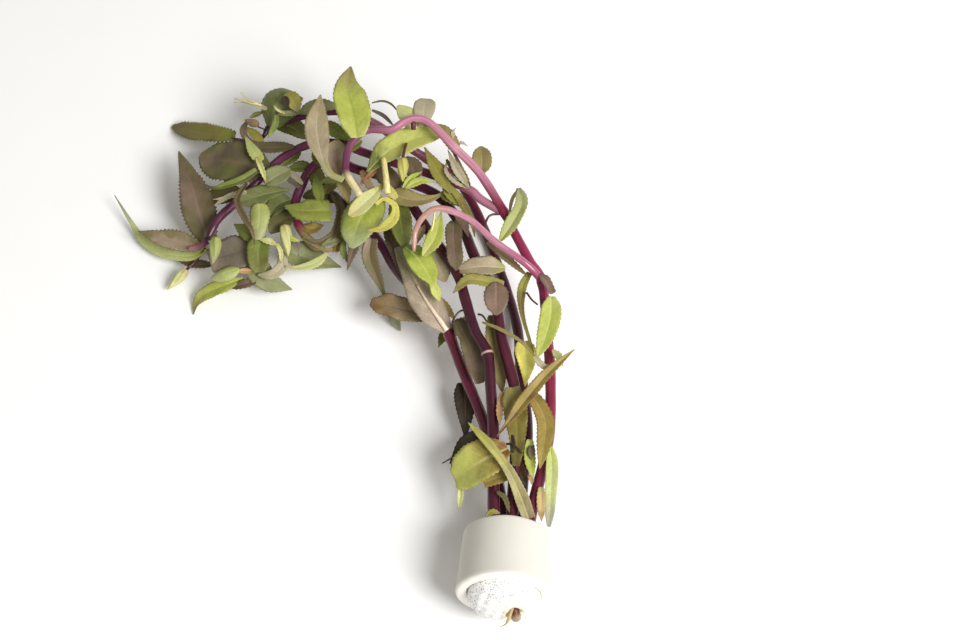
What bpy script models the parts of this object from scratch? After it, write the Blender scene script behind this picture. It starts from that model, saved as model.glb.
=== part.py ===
"""Bunch of rice paddy herb stems held in a ceramic plant ring, lying down.

Metres, +Z up. The tables below are in millimetres and in the bunch's own frame: the floor is
z = 0, the ring's lower end stands over y = 0, and the stems run along +Y from it.
"""
import math

import bmesh
import bpy
from mathutils import Matrix, Vector

MM = 0.001

# Driving dimensions, in millimetres
RING_BOTTOM_RADIUS = 15.0
RING_TOP_RADIUS = 13.6
RING_LENGTH = 21.5
RING_WALL = 3.5
RING_RIM_RADIUS = 1.4
RING_TURN = 3.0
CLEARANCE = 0.3
PLUG_TOP = 13.0
PLUG_BULGE = 4.6
LEAF_THICKNESS = 0.6
STEM_STEP = 8.0

# The ring is a cone, so it lies with its axis tipped by its own half angle
RING_TIP = math.degrees(math.atan((RING_BOTTOM_RADIUS - RING_TOP_RADIUS) / RING_LENGTH))

COLOURS = {
    "ceramic": (0.80, 0.78, 0.72, 0.75),
    "foam": (0.86, 0.86, 0.84, 0.95),
    "root": (0.36, 0.24, 0.13, 0.85),
    "maroon": (0.10, 0.012, 0.035, 0.40),
    "pink": (0.42, 0.13, 0.22, 0.35),
    "lime": (0.42, 0.50, 0.10, 0.50),
    "green": (0.22, 0.32, 0.07, 0.50),
    "olive": (0.20, 0.20, 0.05, 0.60),
    "grey": (0.28, 0.28, 0.20, 0.65),
    "tan": (0.36, 0.30, 0.20, 0.70),
    "brown": (0.20, 0.14, 0.10, 0.70),
    "dark": (0.06, 0.05, 0.03, 0.70),
    "cream": (0.62, 0.60, 0.28, 0.50),
}

# name, finish, radius at the foot, radius at the tip, route from the foot in the plug upwards
STEMS = (
    ("stem_1", "maroon", 2.0, 1.5, (
        (1, 8, 11), (1, 19, 11), (0, 30, 11), (-5, 57, 12), (-11.5, 75, 13.5), (-14.5, 83, 14.5),
        (-18, 93, 15.5), (-21, 100, 15.5), (-34, 114, 15), (-41, 127, 13.5), (-49, 138.5, 12),
        (-58.5, 148.5, 10), (-64, 155, 9))),
    ("stem_2", "maroon", 1.9, 1.6, (
        (-2, 8, 17.5), (-2.5, 19, 17.5), (-3, 30, 17.5), (-3, 54, 19), (-4, 71, 21.5), (-5, 80.5, 22.5),
        (-9, 88.5, 23.5), (-12, 99, 24.5), (-15, 109, 25), (-25, 126.5, 24), (-31.5, 139, 22))),
    ("stem_3", "maroon", 1.9, 1.6, (
        (2.5, 8, 17), (2.5, 19, 17), (3, 30, 17), (4.5, 55, 19), (4, 68, 20.5), (0, 85, 22.5),
        (-3, 103, 23), (-9, 116, 23), (-13, 127, 22.5), (-20, 139, 21.5), (-30, 146, 20),
        (-48, 152, 19), (-55, 156, 18), (-61, 157, 17), (-65.5, 154, 15.5), (-68, 149, 14),
        (-70, 143, 12.5), (-69, 135.5, 12), (-64, 127.5, 12), (-58.5, 124.5, 11.5))),
    ("stem_4", "maroon", 1.8, 1.4, (
        (5, 8, 10.5), (5.5, 19, 10.5), (5.5, 30, 11), (8, 56, 10.5), (7.5, 69, 9.5), (6, 84, 7),
        (5.5, 97, 4.5), (3, 110.5, 2.2), (-1.5, 126, 1.6), (-5.5, 138, 2.2), (-11, 150, 4.5),
        (-17, 156, 9), (-29, 160.5, 17), (-36.5, 164.5, 20), (-44, 170, 21), (-55.5, 174.5, 21),
        (-69, 174, 18.5), (-79, 171.5, 16), (-82, 167.5, 15))),
    ("stem_5", "maroon", 1.9, 1.2, (
        (7.5, 8, 16), (8, 19, 16), (9, 28, 16), (14.5, 52, 17), (15.5, 73, 18), (14.5, 92, 20),
        (13, 107.5, 22), (9, 114, 24), (3.5, 124.5, 26.5), (0.5, 130.5, 28), (-7.5, 143.5, 31),
        (-16.5, 152.5, 34), (-24, 160, 36), (-28.5, 161.5, 36.5), (-32.5, 160.5, 36),
        (-37, 158, 35), (-44, 159, 33.5), (-48, 157, 33), (-51, 152.5, 32.5), (-52, 147, 32),
        (-51.5, 143, 31), (-47, 136, 29))),
    ("shoot_6", "pink", 1.5, 1.2, (
        (-4.5, 133.5, 25.5), (-7.5, 137, 25.5), (-11, 140.5, 25.5), (-22.5, 146.5, 24.5), (-36, 151.5, 24.5),
        (-46, 155.5, 24.5), (-55, 159.5, 24), (-65, 160.5, 22), (-75.5, 157.5, 17), (-86, 148.5, 12),
        (-94, 140.5, 10), (-99.5, 132, 8), (-100.5, 128.5, 8))),
    ("shoot_7", "pink", 1.3, 0.9, (
        (11, 108.5, 26.5), (7.5, 110.5, 28.5), (-2.5, 117, 31.5), (-11, 124, 34), (-20.5, 127.5, 35),
        (-25.5, 125.5, 33.5), (-28.5, 121.5, 30), (-29, 116, 26.5))),
)

# name, finish, width, fold in degrees, route from base to tip
LEAVES = (
    ("leaf_1a", "dark", 7, 15, ((-7, 58, 9.5), (-12, 53, 9.5), (-17, 48, 8))),
    ("leaf_1b", "dark", 7, 12, ((-12.5, 76, 10), (-12, 67, 8.5), (-12, 57, 6))),
    ("leaf_1c", "tan", 7, 12, ((-20, 94, 13), (-28, 99, 13.5), (-35, 102, 13), (-42, 106, 12))),
    ("leaf_1d", "tan", 10, 10, ((-18, 92, 18.5), (-24, 98, 19.5), (-30, 109, 19), (-37, 123, 18))),
    ("leaf_1e", "brown", 5, 15, ((-43, 127, 17), (-43, 119, 14), (-40, 113, 10), (-37, 107, 6),
                                 (-34, 100, 1))),
    ("leaf_1f", "olive", 9, 12, ((-55, 141, 13), (-59, 137, 15), (-65, 137, 17.5), (-72, 138, 17))),
    ("leaf_1g", "brown", 3, 20, ((-58, 147, 12.5), (-59, 142.5, 17.5), (-56, 136, 18.5), (-57, 130, 16.5),
                                 (-62, 127, 15.5), (-67, 128, 15.5))),
    ("leaf_2a", "lime", 13, 14, ((0, 48, 24), (-6, 41, 23), (-15, 38, 15))),
    ("leaf_2b", "olive", 5.5, 18, ((-2, 50, 24), (3, 56, 26), (9, 64.5, 26), (15, 72, 26), (23, 80, 26))),
    ("leaf_2c", "brown", 7.5, 12, ((-13, 94, 19.5), (-9.5, 84, 18.5), (-7, 72, 17))),
    ("leaf_2d", "brown", 6, 12, ((-16, 108, 28.5), (-15, 117, 28.5), (-16, 127, 27.5))),
    ("leaf_2e", "lime", 6.5, 15, ((-32, 118, 24.5), (-29, 114, 24.5), (-24, 109, 24), (-20, 99, 22.5))),
    ("leaf_2f", "green", 8, 12, ((-34, 136, 24.5), (-33, 128, 24), (-32, 119, 22))),
    ("leaf_2g", "tan", 6.5, 12, ((-36, 140, 25.5), (-30, 137, 25.5), (-23, 137, 25.5), (-18, 140, 26))),
    ("leaf_2h", "lime", 13, 12, ((-41, 138, 25), (-47, 130, 24), (-50, 121, 20))),
    ("leaf_2i", "lime", 3.5, 15, ((-40, 136, 26.5), (-36, 133, 27), (-36, 127, 27.5), (-40, 123, 28),
                                  (-44, 122, 27.5))),
    ("leaf_2j", "cream", 4.5, 15, ((-41, 140, 26.5), (-44.5, 134, 27), (-51, 129.5, 26.5))),
    ("leaf_3a", "olive", 7, 12, ((5, 67, 23), (4.5, 57, 22.5), (3, 48, 22), (2, 41, 21.5))),
    ("leaf_3b", "olive", 6, 12, ((-3, 96, 19.5), (-2, 84, 19), (0, 69, 17))),
    ("leaf_3c", "brown", 7, 12, ((-2, 103, 27.5), (-2, 98, 27), (-2, 93, 26))),
    ("leaf_3d", "tan", 6.5, 12, ((0, 110, 26), (-7, 110, 27), (-14, 111, 26))),
    ("leaf_3e", "grey", 8.5, 10, ((-72, 127, 8.5), (-64, 124.5, 8), (-54, 121.5, 7))),
    ("leaf_3f", "grey", 9.5, 12, ((-85, 120, 7.5), (-78, 116.5, 6.5), (-71, 113.5, 4.5))),
    ("leaf_4a", "lime", 3.5, 20, ((7, 27, 18.5), (5, 32, 21), (2, 37, 26), (-4, 45, 27), (-10, 55, 24))),
    ("leaf_4b", "lime", 6, 12, ((9.5, 83, 20), (8, 78, 19.8), (7, 70, 19.5))),
    ("leaf_4c", "grey", 4.5, 20, ((-0.5, 119, 28.5), (3.5, 125, 30), (6.5, 131.5, 31), (5.5, 137, 31))),
    ("leaf_4d", "olive", 7, 15, ((-18, 138, 28), (-22, 145, 28.5), (-26, 155, 28))),
    ("leaf_4e", "tan", 4, 25, ((-12, 139, 29), (-15, 146, 29.5), (-18, 153, 29.5))),
    ("leaf_4f", "grey", 10, 20, ((-68, 176.5, 22), (-74, 178, 22.5), (-80, 177.5, 19), (-83, 175, 13))),
    ("leaf_4g", "brown", 3, 20, ((-71, 159.5, 22), (-79, 160, 19.5), (-86, 163, 18), (-89, 168, 17),
                                 (-91, 174, 16))),
    ("leaf_4h", "olive", 6, 12, ((-86, 167, 13.5), (-93, 170, 12), (-105, 177.5, 6), (-116, 182, 0.2))),
    ("leaf_5a", "lime", 4, 15, ((15, 49, 19.5), (15.5, 42, 19.5), (15, 32, 18.5), (14.5, 23, 16.5))),
    ("leaf_5b", "tan", 6, 12, ((9.5, 64, 21.8), (12, 58, 22.3), (12, 50, 22.3), (11.5, 40, 21.5))),
    ("leaf_5c", "lime", 8, 12, ((15, 99, 26), (15, 92, 25.5), (14, 84, 24.5), (11, 78, 23.5))),
    ("leaf_5d", "olive", 3, 20, ((9, 110, 23), (7, 104, 22.5), (6, 95, 22.3), (8.5, 85.5, 22))),
    ("leaf_5e", "tan", 6.5, 15, ((-9, 145, 23.5), (-7, 151, 24), (-7, 159, 23))),
    ("leaf_5f", "green", 10, 15, ((-44, 147, 28), (-37, 153, 29.5), (-28, 158, 30), (-20, 159, 29.5))),
    ("leaf_5g", "lime", 11, 15, ((-48, 155, 35.5), (-49.5, 164, 36), (-51, 182, 37))),
    ("leaf_5h", "brown", 6.5, 12, ((-53, 145, 28), (-56, 151, 27.5), (-58, 158, 27))),
    ("leaf_5i", "tan", 7.5, 12, ((-53, 139, 33), (-57, 141, 33), (-60, 148, 33), (-62, 160, 33),
                                 (-61, 172, 35))),
    ("leaf_6a", "brown", 14, 10, ((-81, 151, 17.5), (-90, 153, 17.5), (-103, 160, 13))),
    ("leaf_6b", "brown", 9, 12, ((-99, 129, 11.5), (-102, 138, 13), (-105, 150, 14), (-111, 164, 12))),
    ("leaf_6c", "brown", 6.5, 15, ((-101, 127, 10.5), (-109, 130, 9.5), (-116, 132, 8.5), (-123, 135, 7))),
    ("leaf_6d", "green", 3.2, 20, ((-101, 127, 8), (-108, 126, 4), (-117, 130, 1.5), (-125, 137, 1),
                                   (-129, 143, 3), (-133, 151, 5))),
    ("leaf_6e", "grey", 13, 12, ((-84, 125, 12.5), (-90, 123.5, 12), (-97, 122, 11))),
    ("leaf_6f", "grey", 6.5, 12, ((-73, 146, 16), (-80, 144, 16), (-88, 141, 15.5))),
    ("leaf_6g", "green", 6, 15, ((-71, 145, 19), (-76, 148, 19), (-80, 152, 19))),
    ("leaf_6h", "olive", 5.5, 15, ((-89, 116, 7), (-97, 113, 3.5), (-104, 107, 0.2))),
    ("leaf_7a", "lime", 5.5, 15, ((-26, 114, 27.5), (-22, 120, 29), (-20, 128, 31))),
)

# name, finish, radius, base, tip
BUDS = (
    ("bud_1", "lime", 2.5, (-96, 127, 16.5), (-97, 118, 14.5)),
)


def clear_scene():
    for obj in list(bpy.data.objects):
        bpy.data.objects.remove(obj, do_unlink=True)


def new_collection(name):
    collection = bpy.data.collections.new(name)
    bpy.context.scene.collection.children.link(collection)
    return collection


def material(name):
    found = bpy.data.materials.get(name)
    if found:
        return found
    red, green, blue, roughness = COLOURS[name]
    made = bpy.data.materials.new(name)
    made.use_nodes = True
    shader = made.node_tree.nodes["Principled BSDF"]
    shader.inputs["Base Color"].default_value = (red, green, blue, 1.0)
    shader.inputs["Roughness"].default_value = roughness
    shader.inputs["Metallic"].default_value = 0.0
    return made


def place(name, data, finish, parent, collection):
    obj = bpy.data.objects.new(name, data)
    collection.objects.link(obj)
    obj.parent = parent
    obj.data.materials.append(material(finish))
    return obj


def smooth_route(points, count):
    """Evenly spaced points along a Catmull-Rom curve through the given points, in metres."""
    nodes = [Vector(p) * MM for p in points]
    nodes = [2 * nodes[0] - nodes[1]] + nodes + [2 * nodes[-1] - nodes[-2]]
    dense = []
    for i in range(1, len(nodes) - 2):
        a, b, c, d = nodes[i - 1:i + 3]
        for step in range(12):
            t = step / 12
            dense.append(0.5 * (2 * b + (c - a) * t + (2 * a - 5 * b + 4 * c - d) * t ** 2
                                + (3 * b - 3 * c + d - a) * t ** 3))
    dense.append(nodes[-2])
    lengths = [0.0]
    for start, end in zip(dense, dense[1:]):
        lengths.append(lengths[-1] + (end - start).length)
    result = []
    k = 0
    for i in range(count):
        target = lengths[-1] * i / (count - 1)
        while k < len(dense) - 2 and lengths[k + 1] < target:
            k += 1
        span = lengths[k + 1] - lengths[k]
        result.append(dense[k].lerp(dense[k + 1], (target - lengths[k]) / span))
    return result


def route_length(points):
    return sum((Vector(b) - Vector(a)).length for a, b in zip(points, points[1:]))


def stem(name, finish, foot_radius, tip_radius, points, parent, collection):
    """A round stem: a tapering tube along its route, with filled ends."""
    count = max(4, round(route_length(points) / STEM_STEP))
    route = smooth_route(points, count)
    curve = bpy.data.curves.new(name, "CURVE")
    curve.dimensions = "3D"
    curve.bevel_depth = foot_radius * MM
    curve.bevel_resolution = 2
    curve.render_resolution_u = 0
    curve.use_fill_caps = True
    spline = curve.splines.new("POLY")
    spline.points.add(count - 1)
    for i, position in enumerate(route):
        spline.points[i].co = (*position, 1.0)
        spline.points[i].radius = 1.0 + (tip_radius / foot_radius - 1.0) * i / (count - 1)
    spline.use_smooth = True
    return place(name, curve, finish, parent, collection)


def leaf_width(along):
    """Share of the full width at a place from base, 0, to tip, 1."""
    return max(0.16, math.sin(math.pi * min(1.0, 0.06 + 0.94 * along) ** 0.9) ** 0.7)


def leaf(name, finish, width, fold, points, parent, collection):
    """A thin blade: an open grid folded on its midrib along its route, thickened to a solid."""
    broad = width >= 5.0
    across = 4 if broad else 2
    along = max(5, min(7, round(route_length(points) / 4.0)))
    route = smooth_route(points, along + 1)
    bm = bmesh.new()
    bmesh.ops.create_grid(bm, x_segments=across, y_segments=along, size=1.0)
    for vert in bm.verts:
        side_share = vert.co.x
        step = round((vert.co.y + 1.0) / 2.0 * along)
        ahead = route[min(step + 1, along)] - route[max(step - 1, 0)]
        side = ahead.cross(Vector((0, 0, 1))).normalized()
        up = side.cross(ahead).normalized()
        half = width / 2 * leaf_width(step / along) * MM
        lift = math.tan(math.radians(fold)) * abs(side_share) * half
        vert.co = route[step] + side * side_share * half + up * lift
    mesh = bpy.data.meshes.new(name)
    bm.to_mesh(mesh)
    bm.free()
    mesh.shade_smooth()
    obj = place(name, mesh, finish, parent, collection)
    skin = obj.modifiers.new("thickness", "SOLIDIFY")
    skin.thickness = LEAF_THICKNESS * MM
    skin.offset = 0.0
    return obj


def bud(name, finish, radius, base, tip, parent, collection):
    """A closed teardrop bud: a turned profile laid from its base to its tip."""
    start = Vector(base) * MM
    ahead = Vector(tip) * MM - start
    length = ahead.length
    profile = [(0.0, 1.0), (0.35, 0.92), (0.75, 0.75), (1.0, 0.45), (0.8, 0.15), (0.0, 0.0)]
    obj = turned(name, [(r * radius * MM, h * length) for r, h in profile], 10, finish, parent,
                 collection)
    obj.location = start
    obj.rotation_mode = "QUATERNION"
    obj.rotation_quaternion = Vector((0, 0, 1)).rotation_difference(ahead.normalized())
    return obj


def turned(name, profile, steps, finish, parent, collection, closed=False):
    """A profile of radius and height turned about its own Z."""
    mesh = bpy.data.meshes.new(name)
    verts = [(r, 0.0, h) for r, h in profile]
    edges = [(i, i + 1) for i in range(len(verts) - 1)]
    if closed:
        edges.append((len(verts) - 1, 0))
    mesh.from_pydata(verts, edges, [])
    obj = place(name, mesh, finish, parent, collection)
    screw = obj.modifiers.new("turn", "SCREW")
    screw.steps = steps
    screw.render_steps = steps
    screw.use_merge_vertices = True
    screw.merge_threshold = 0.00001
    screw.use_smooth_shade = True
    return obj


def ring_frame():
    """Lays the ring's own Z along the floor, with its lower end over y = 0."""
    lift = Matrix.Translation((0, 0, RING_BOTTOM_RADIUS * math.cos(math.radians(RING_TIP)) * MM))
    turn = Matrix.Rotation(math.radians(-RING_TURN), 4, "Z")
    lay = Matrix.Rotation(math.radians(-90.0 - RING_TIP), 4, "X")
    return lift @ turn @ lay


def ring(parent, collection):
    """The tapered ceramic ring, open at both ends, with rounded rims."""
    r = RING_RIM_RADIUS
    corner = [(math.sin(math.radians(a)), math.cos(math.radians(a))) for a in (0, 45, 90)]
    inner_top = RING_TOP_RADIUS - RING_WALL
    inner_bottom = RING_BOTTOM_RADIUS - RING_WALL
    top = RING_LENGTH
    profile = [(inner_top + r * (1 - s), top - r * (1 - c)) for s, c in reversed(corner)]
    profile += [(RING_TOP_RADIUS - r * (1 - s), top - r * (1 - c)) for s, c in corner]
    profile += [(RING_BOTTOM_RADIUS - r * (1 - s), r * (1 - c)) for s, c in reversed(corner)]
    profile += [(inner_bottom + r * (1 - s), r * (1 - c)) for s, c in corner]
    profile = [(radius * MM, height * MM) for radius, height in profile]
    obj = turned("ring", profile, 36, "ceramic", parent, collection, closed=True)
    obj.matrix_local = ring_frame()
    return obj


def plug(parent, collection):
    """The soft growing plug packed in the ring, domed at its lower end."""
    bottom = RING_BOTTOM_RADIUS - RING_WALL - CLEARANCE
    taper = (RING_BOTTOM_RADIUS - RING_TOP_RADIUS) / RING_LENGTH
    top = bottom - taper * PLUG_TOP
    dome = [(bottom * math.sin(math.radians(a)), -PLUG_BULGE * math.cos(math.radians(a)))
            for a in (72, 45, 20, 0)]
    profile = [(0.0, PLUG_TOP), (top - 1.0, PLUG_TOP), (top, PLUG_TOP - 1.0), (bottom, 0.8)] + dome
    profile = [(radius * MM, height * MM) for radius, height in profile]
    obj = turned("plug", profile, 24, "foam", parent, collection)
    obj.matrix_local = ring_frame()
    return obj


def socket(target, name, start, end, radius, parent, cutters):
    """Cuts a round hole into the target along a straight line."""
    start = Vector(start) * MM
    end = Vector(end) * MM
    bm = bmesh.new()
    bmesh.ops.create_cone(bm, cap_ends=True, segments=12, radius1=radius * MM, radius2=radius * MM,
                          depth=(end - start).length)
    mesh = bpy.data.meshes.new(name)
    bm.to_mesh(mesh)
    bm.free()
    cutter = bpy.data.objects.new(name, mesh)
    cutters.objects.link(cutter)
    cutter.parent = parent
    cutter.location = (start + end) / 2
    cutter.rotation_mode = "QUATERNION"
    cutter.rotation_quaternion = Vector((0, 0, 1)).rotation_difference((end - start).normalized())
    cutter.hide_render = True
    cutter.display_type = "WIRE"
    cut = target.modifiers.new(name, "BOOLEAN")
    cut.operation = "DIFFERENCE"
    cut.object = cutter


def centre_on_floor(root, collection):
    """Moves the whole bunch so that its box stands centred over the origin."""
    bpy.context.view_layer.update()
    graph = bpy.context.evaluated_depsgraph_get()
    corners = []
    for obj in collection.objects:
        if obj.type == "EMPTY":
            continue
        shape = obj.evaluated_get(graph)
        mesh = shape.to_mesh()
        corners += [shape.matrix_world @ vert.co for vert in mesh.vertices]
        shape.to_mesh_clear()
    low = [min(corner[k] for corner in corners) for k in range(3)]
    high = [max(corner[k] for corner in corners) for k in range(3)]
    root.location = (-(low[0] + high[0]) / 2, -(low[1] + high[1]) / 2, -low[2])
    bpy.context.view_layer.update()


def build():
    clear_scene()
    pieces = new_collection("rice_paddy_herb")
    cutters = new_collection("cutters")
    root = bpy.data.objects.new("bunch", None)
    pieces.objects.link(root)

    ring(root, pieces)
    soft = plug(root, pieces)
    root_end = ((4, 4, 15), (3, -1, 14.5), (2.5, -5.5, 12.5), (0.5, -8.5, 9))
    stem("root_end", "root", 2.2, 1.0, root_end, root, pieces)
    socket(soft, "socket_root", (4.6, 4.5, 15), (2.0, -8.0, 13.0), 3.1, root, cutters)
    for name, finish, foot_radius, tip_radius, route in STEMS:
        stem(name, finish, foot_radius, tip_radius, route, root, pieces)
        if name.startswith("stem"):
            foot = Vector(route[0]) - Vector((0, CLEARANCE + 0.2, 0))
            socket(soft, "socket_" + name, foot, route[1], foot_radius + CLEARANCE, root, cutters)
    for name, finish, width, fold, route in LEAVES:
        leaf(name, finish, width, fold, route, root, pieces)
    for name, finish, radius, base, tip in BUDS:
        bud(name, finish, radius, base, tip, root, pieces)
    centre_on_floor(root, pieces)


build()
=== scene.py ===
"""A wilting bunch of rice paddy herb in a ceramic plant ring, lying on a white sheet."""
import math
import random

import bpy
import numpy as np
from mathutils import Matrix, Vector


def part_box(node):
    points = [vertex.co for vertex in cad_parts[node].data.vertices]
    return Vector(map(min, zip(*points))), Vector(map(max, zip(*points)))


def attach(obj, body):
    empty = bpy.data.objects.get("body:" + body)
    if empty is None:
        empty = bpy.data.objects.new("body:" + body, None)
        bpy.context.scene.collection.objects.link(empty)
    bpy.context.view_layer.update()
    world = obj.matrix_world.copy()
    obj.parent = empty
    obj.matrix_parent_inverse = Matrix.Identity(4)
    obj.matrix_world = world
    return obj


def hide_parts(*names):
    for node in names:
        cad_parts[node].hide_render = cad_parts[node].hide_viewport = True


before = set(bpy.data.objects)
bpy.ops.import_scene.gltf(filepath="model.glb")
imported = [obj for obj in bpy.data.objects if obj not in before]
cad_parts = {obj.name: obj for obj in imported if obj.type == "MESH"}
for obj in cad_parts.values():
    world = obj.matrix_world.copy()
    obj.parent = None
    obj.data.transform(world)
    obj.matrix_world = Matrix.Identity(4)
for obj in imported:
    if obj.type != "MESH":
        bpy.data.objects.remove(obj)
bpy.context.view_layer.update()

# Sheet, lamp and camera
# The bunch lies on a plain white sheet, under one large lamp high on the right and a bright room.
# All sizes below are millimetres from the ring's lower end, and spot() takes them to the frame.
MM = 0.001
RING_BOX_CENTRE = Vector((0.073, 10.654, 14.878))
SHEET_HALF = 1500.0
CAMERA_TARGET = (-7.264, 104.6, 0.0)
CAMERA_DISTANCE = 763.0
CAMERA_PITCH = 62.0
CAMERA_LENS = 85.0
CAMERA_SENSOR = 36.0
LAMP_TARGET = (-20.0, 100.0, 0.0)
LAMP_DISTANCE = 1100.0
LAMP_TURN = -38.0
LAMP_HEIGHT = 46.0
LAMP_WIDTH = 620.0
LAMP_POWER = 14.2
ROOM_LIGHT = 0.42
ROOM_TINT = (1.0, 0.965, 0.91, 1.0)

ring_low, ring_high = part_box("ring")
BUNCH_ORIGIN = (ring_low + ring_high) / 2 - RING_BOX_CENTRE * MM


def spot(point):
    """A point in millimetres from the ring's lower end, as the frame places it."""
    return BUNCH_ORIGIN + Vector(point) * MM


def paint(red, green, blue):
    """A paint colour given as a screen colour from 0 to 255, as the shader takes it."""
    shares = [value / 255 for value in (red, green, blue)]
    return tuple(c / 12.92 if c < 0.04 else ((c + 0.055) / 1.055) ** 2.4 for c in shares) + (1.0,)


def add(tree, kind, inputs=(), **settings):
    """A shader node with its settings. Each input is a number, a colour or another node's output."""
    made = tree.nodes.new("ShaderNode" + kind)
    for key, value in settings.items():
        setattr(made, key, value)
    for key, value in dict(inputs).items():
        if isinstance(value, bpy.types.NodeSocket):
            tree.links.new(value, made.inputs[key])
        else:
            made.inputs[key].default_value = value
    return made


def mixed(tree, share, first, second):
    """The first colour turned towards the second by a share from 0 to 1."""
    return add(tree, "MixRGB", {"Fac": share, "Color1": first, "Color2": second}).outputs[0]


def grain(tree, where, scale, detail=3.0):
    """A cloudy mask from 0 to 1, the finer the greater its scale."""
    return add(tree, "TexNoise", {"Vector": where, "Scale": scale, "Detail": detail}).outputs[0]


def new_material(name, roughness):
    """A material of a plain roughness, with its tree and its shader."""
    made = bpy.data.materials.new(name)
    made.use_nodes = True
    tree = made.node_tree
    shader = tree.nodes["Principled BSDF"]
    shader.inputs["Roughness"].default_value = roughness
    return made, tree, shader


def relief(tree, shader, height, depth, strength=1.0):
    """Lets a height mask stand up from the surface by its depth in millimetres."""
    ends = {"Height": height, "Distance": depth * MM, "Strength": strength}
    tree.links.new(add(tree, "Bump", ends).outputs[0], shader.inputs["Normal"])


def sheet_material():
    made, tree, shader = new_material("sheet", 0.6)
    where = add(tree, "TexCoord").outputs["Object"]
    tone = mixed(tree, grain(tree, where, 40.0), paint(250, 250, 250), paint(254, 254, 254))
    tree.links.new(tone, shader.inputs["Base Color"])
    relief(tree, shader, grain(tree, where, 900.0), 0.01, 0.2)
    return made


sheet_mesh = bpy.data.meshes.new("sheet")
corners = [(x * SHEET_HALF * MM, y * SHEET_HALF * MM, 0)
           for x, y in ((-1, -1), (1, -1), (1, 1), (-1, 1))]
sheet_mesh.from_pydata(corners, [], [(0, 1, 2, 3)])
sheet_mesh.materials.append(sheet_material())
sheet = bpy.data.objects.new("sheet", sheet_mesh)
bpy.context.scene.collection.objects.link(sheet)

camera = bpy.data.objects.new("camera", bpy.data.cameras.new("camera"))
bpy.context.scene.collection.objects.link(camera)
camera.data.lens = CAMERA_LENS
camera.data.sensor_width = CAMERA_SENSOR
camera.data.clip_start = 0.01
pitch = math.radians(CAMERA_PITCH)
towards_camera = Vector((0, -math.cos(pitch), math.sin(pitch)))
camera.location = spot(CAMERA_TARGET) + towards_camera * CAMERA_DISTANCE * MM
camera.rotation_euler = (math.pi / 2 - pitch, 0, 0)
bpy.context.scene.camera = camera

lamp = bpy.data.objects.new("lamp", bpy.data.lights.new("lamp", "AREA"))
bpy.context.scene.collection.objects.link(lamp)
lamp.data.shape = "DISK"
lamp.data.size = LAMP_WIDTH * MM
lamp.data.energy = LAMP_POWER
turn = math.radians(LAMP_TURN)
height = math.radians(LAMP_HEIGHT)
towards_lamp = Vector((math.cos(turn) * math.cos(height), math.sin(turn) * math.cos(height),
                       math.sin(height)))
lamp.location = spot(LAMP_TARGET) + towards_lamp * LAMP_DISTANCE * MM
lamp.rotation_euler = towards_lamp.to_track_quat("Z", "Y").to_euler()

room = bpy.data.worlds.new("room")
room.use_nodes = True
room.node_tree.nodes["Background"].inputs["Color"].default_value = ROOM_TINT
room.node_tree.nodes["Background"].inputs["Strength"].default_value = ROOM_LIGHT
bpy.context.scene.world = room
bpy.context.scene.view_settings.view_transform = "Standard"

# Ring
# A short tapered ring of white unglazed ceramic, cast in one piece, with soft rounded rims, the
# lower one worn and painted whiter where its end faces the lamp, as painted light. It lies on its
# side and grips the plug by its fit alone.
RING_BOTTOM_RADIUS = 15.0
RING_TOP_RADIUS = 13.6
RING_LENGTH = 21.5
RING_WALL = 3.5
RING_RIM_RADIUS = 1.1
RING_STEPS = 128
RIM_STEPS = 6
WALL_STEPS = 10
RIM_BAND = 1.5
RIM_LIGHT_FADE = 0.9
WEAR_BAND = 1.0
WEAR_DEPTH = 0.10
RING_TURN = 3.0
RING_TIP = math.atan((RING_BOTTOM_RADIUS - RING_TOP_RADIUS) / RING_LENGTH)
RING_PLACE = (Matrix.Translation((0, 0, RING_BOTTOM_RADIUS * math.cos(RING_TIP)))
              @ Matrix.Rotation(math.radians(-RING_TURN), 4, "Z")
              @ Matrix.Rotation(-math.pi / 2 - RING_TIP, 4, "X"))


def piece_from(node, points, faces, skin, marks=None):
    """A smooth mesh piece from points in millimetres, fixed to the bunch, with its surface marks."""
    name = node + "_piece"
    mesh = bpy.data.meshes.new(name)
    mesh.from_pydata([spot(point) for point in points], [], faces)
    mesh.shade_smooth()
    mesh.materials.append(skin)
    for label, values in (marks or {}).items():
        layer = mesh.attributes.new(label, "FLOAT_VECTOR", "POINT")
        layer.data.foreach_set("vector", np.asarray(values, dtype=np.float32).ravel())
    made = bpy.data.objects.new(name, mesh)
    bpy.context.scene.collection.objects.link(made)
    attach(made, "root")
    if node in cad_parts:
        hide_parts(node)


def turned(profile, steps, closed, wobble):
    """Points and faces of a profile of radius and height turned about Z, each moved by wobble."""
    points = []
    for k in range(steps):
        angle = 2 * math.pi * k / steps
        points += [wobble(r, angle, h) for r, h in profile]
    count = len(profile)
    last = count if closed else count - 1
    faces = []
    for k in range(steps):
        here = k * count
        there = (k + 1) % steps * count
        for i in range(last):
            after = (i + 1) % count
            faces.append((here + i, there + i, there + after, here + after))
    return points, faces


def maths(tree, operation, first, second=0.0):
    return add(tree, "Math", {0: first, 1: second}, operation=operation).outputs[0]


def times(tree, first, second):
    return maths(tree, "MULTIPLY", first, second)


def laid_over(tree, tone, colour, mask, strength):
    """The tone with a colour laid over it where the mask is, at a strength from 0 to 1."""
    return mixed(tree, times(tree, mask, strength), tone, colour)


def painted(tree, label):
    """The three surface marks that a piece carries under a label."""
    mark = add(tree, "Attribute", attribute_name=label).outputs["Vector"]
    return add(tree, "SeparateXYZ", {"Vector": mark}).outputs


def stretched(tree, value, low, high, to_low=0.0, to_high=1.0):
    """The value's share of the way from low to high, eased and clamped."""
    ends = {"Value": value, "From Min": low, "From Max": high, "To Min": to_low, "To Max": to_high}
    return add(tree, "MapRange", ends, interpolation_type="SMOOTHSTEP").outputs[0]


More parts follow.
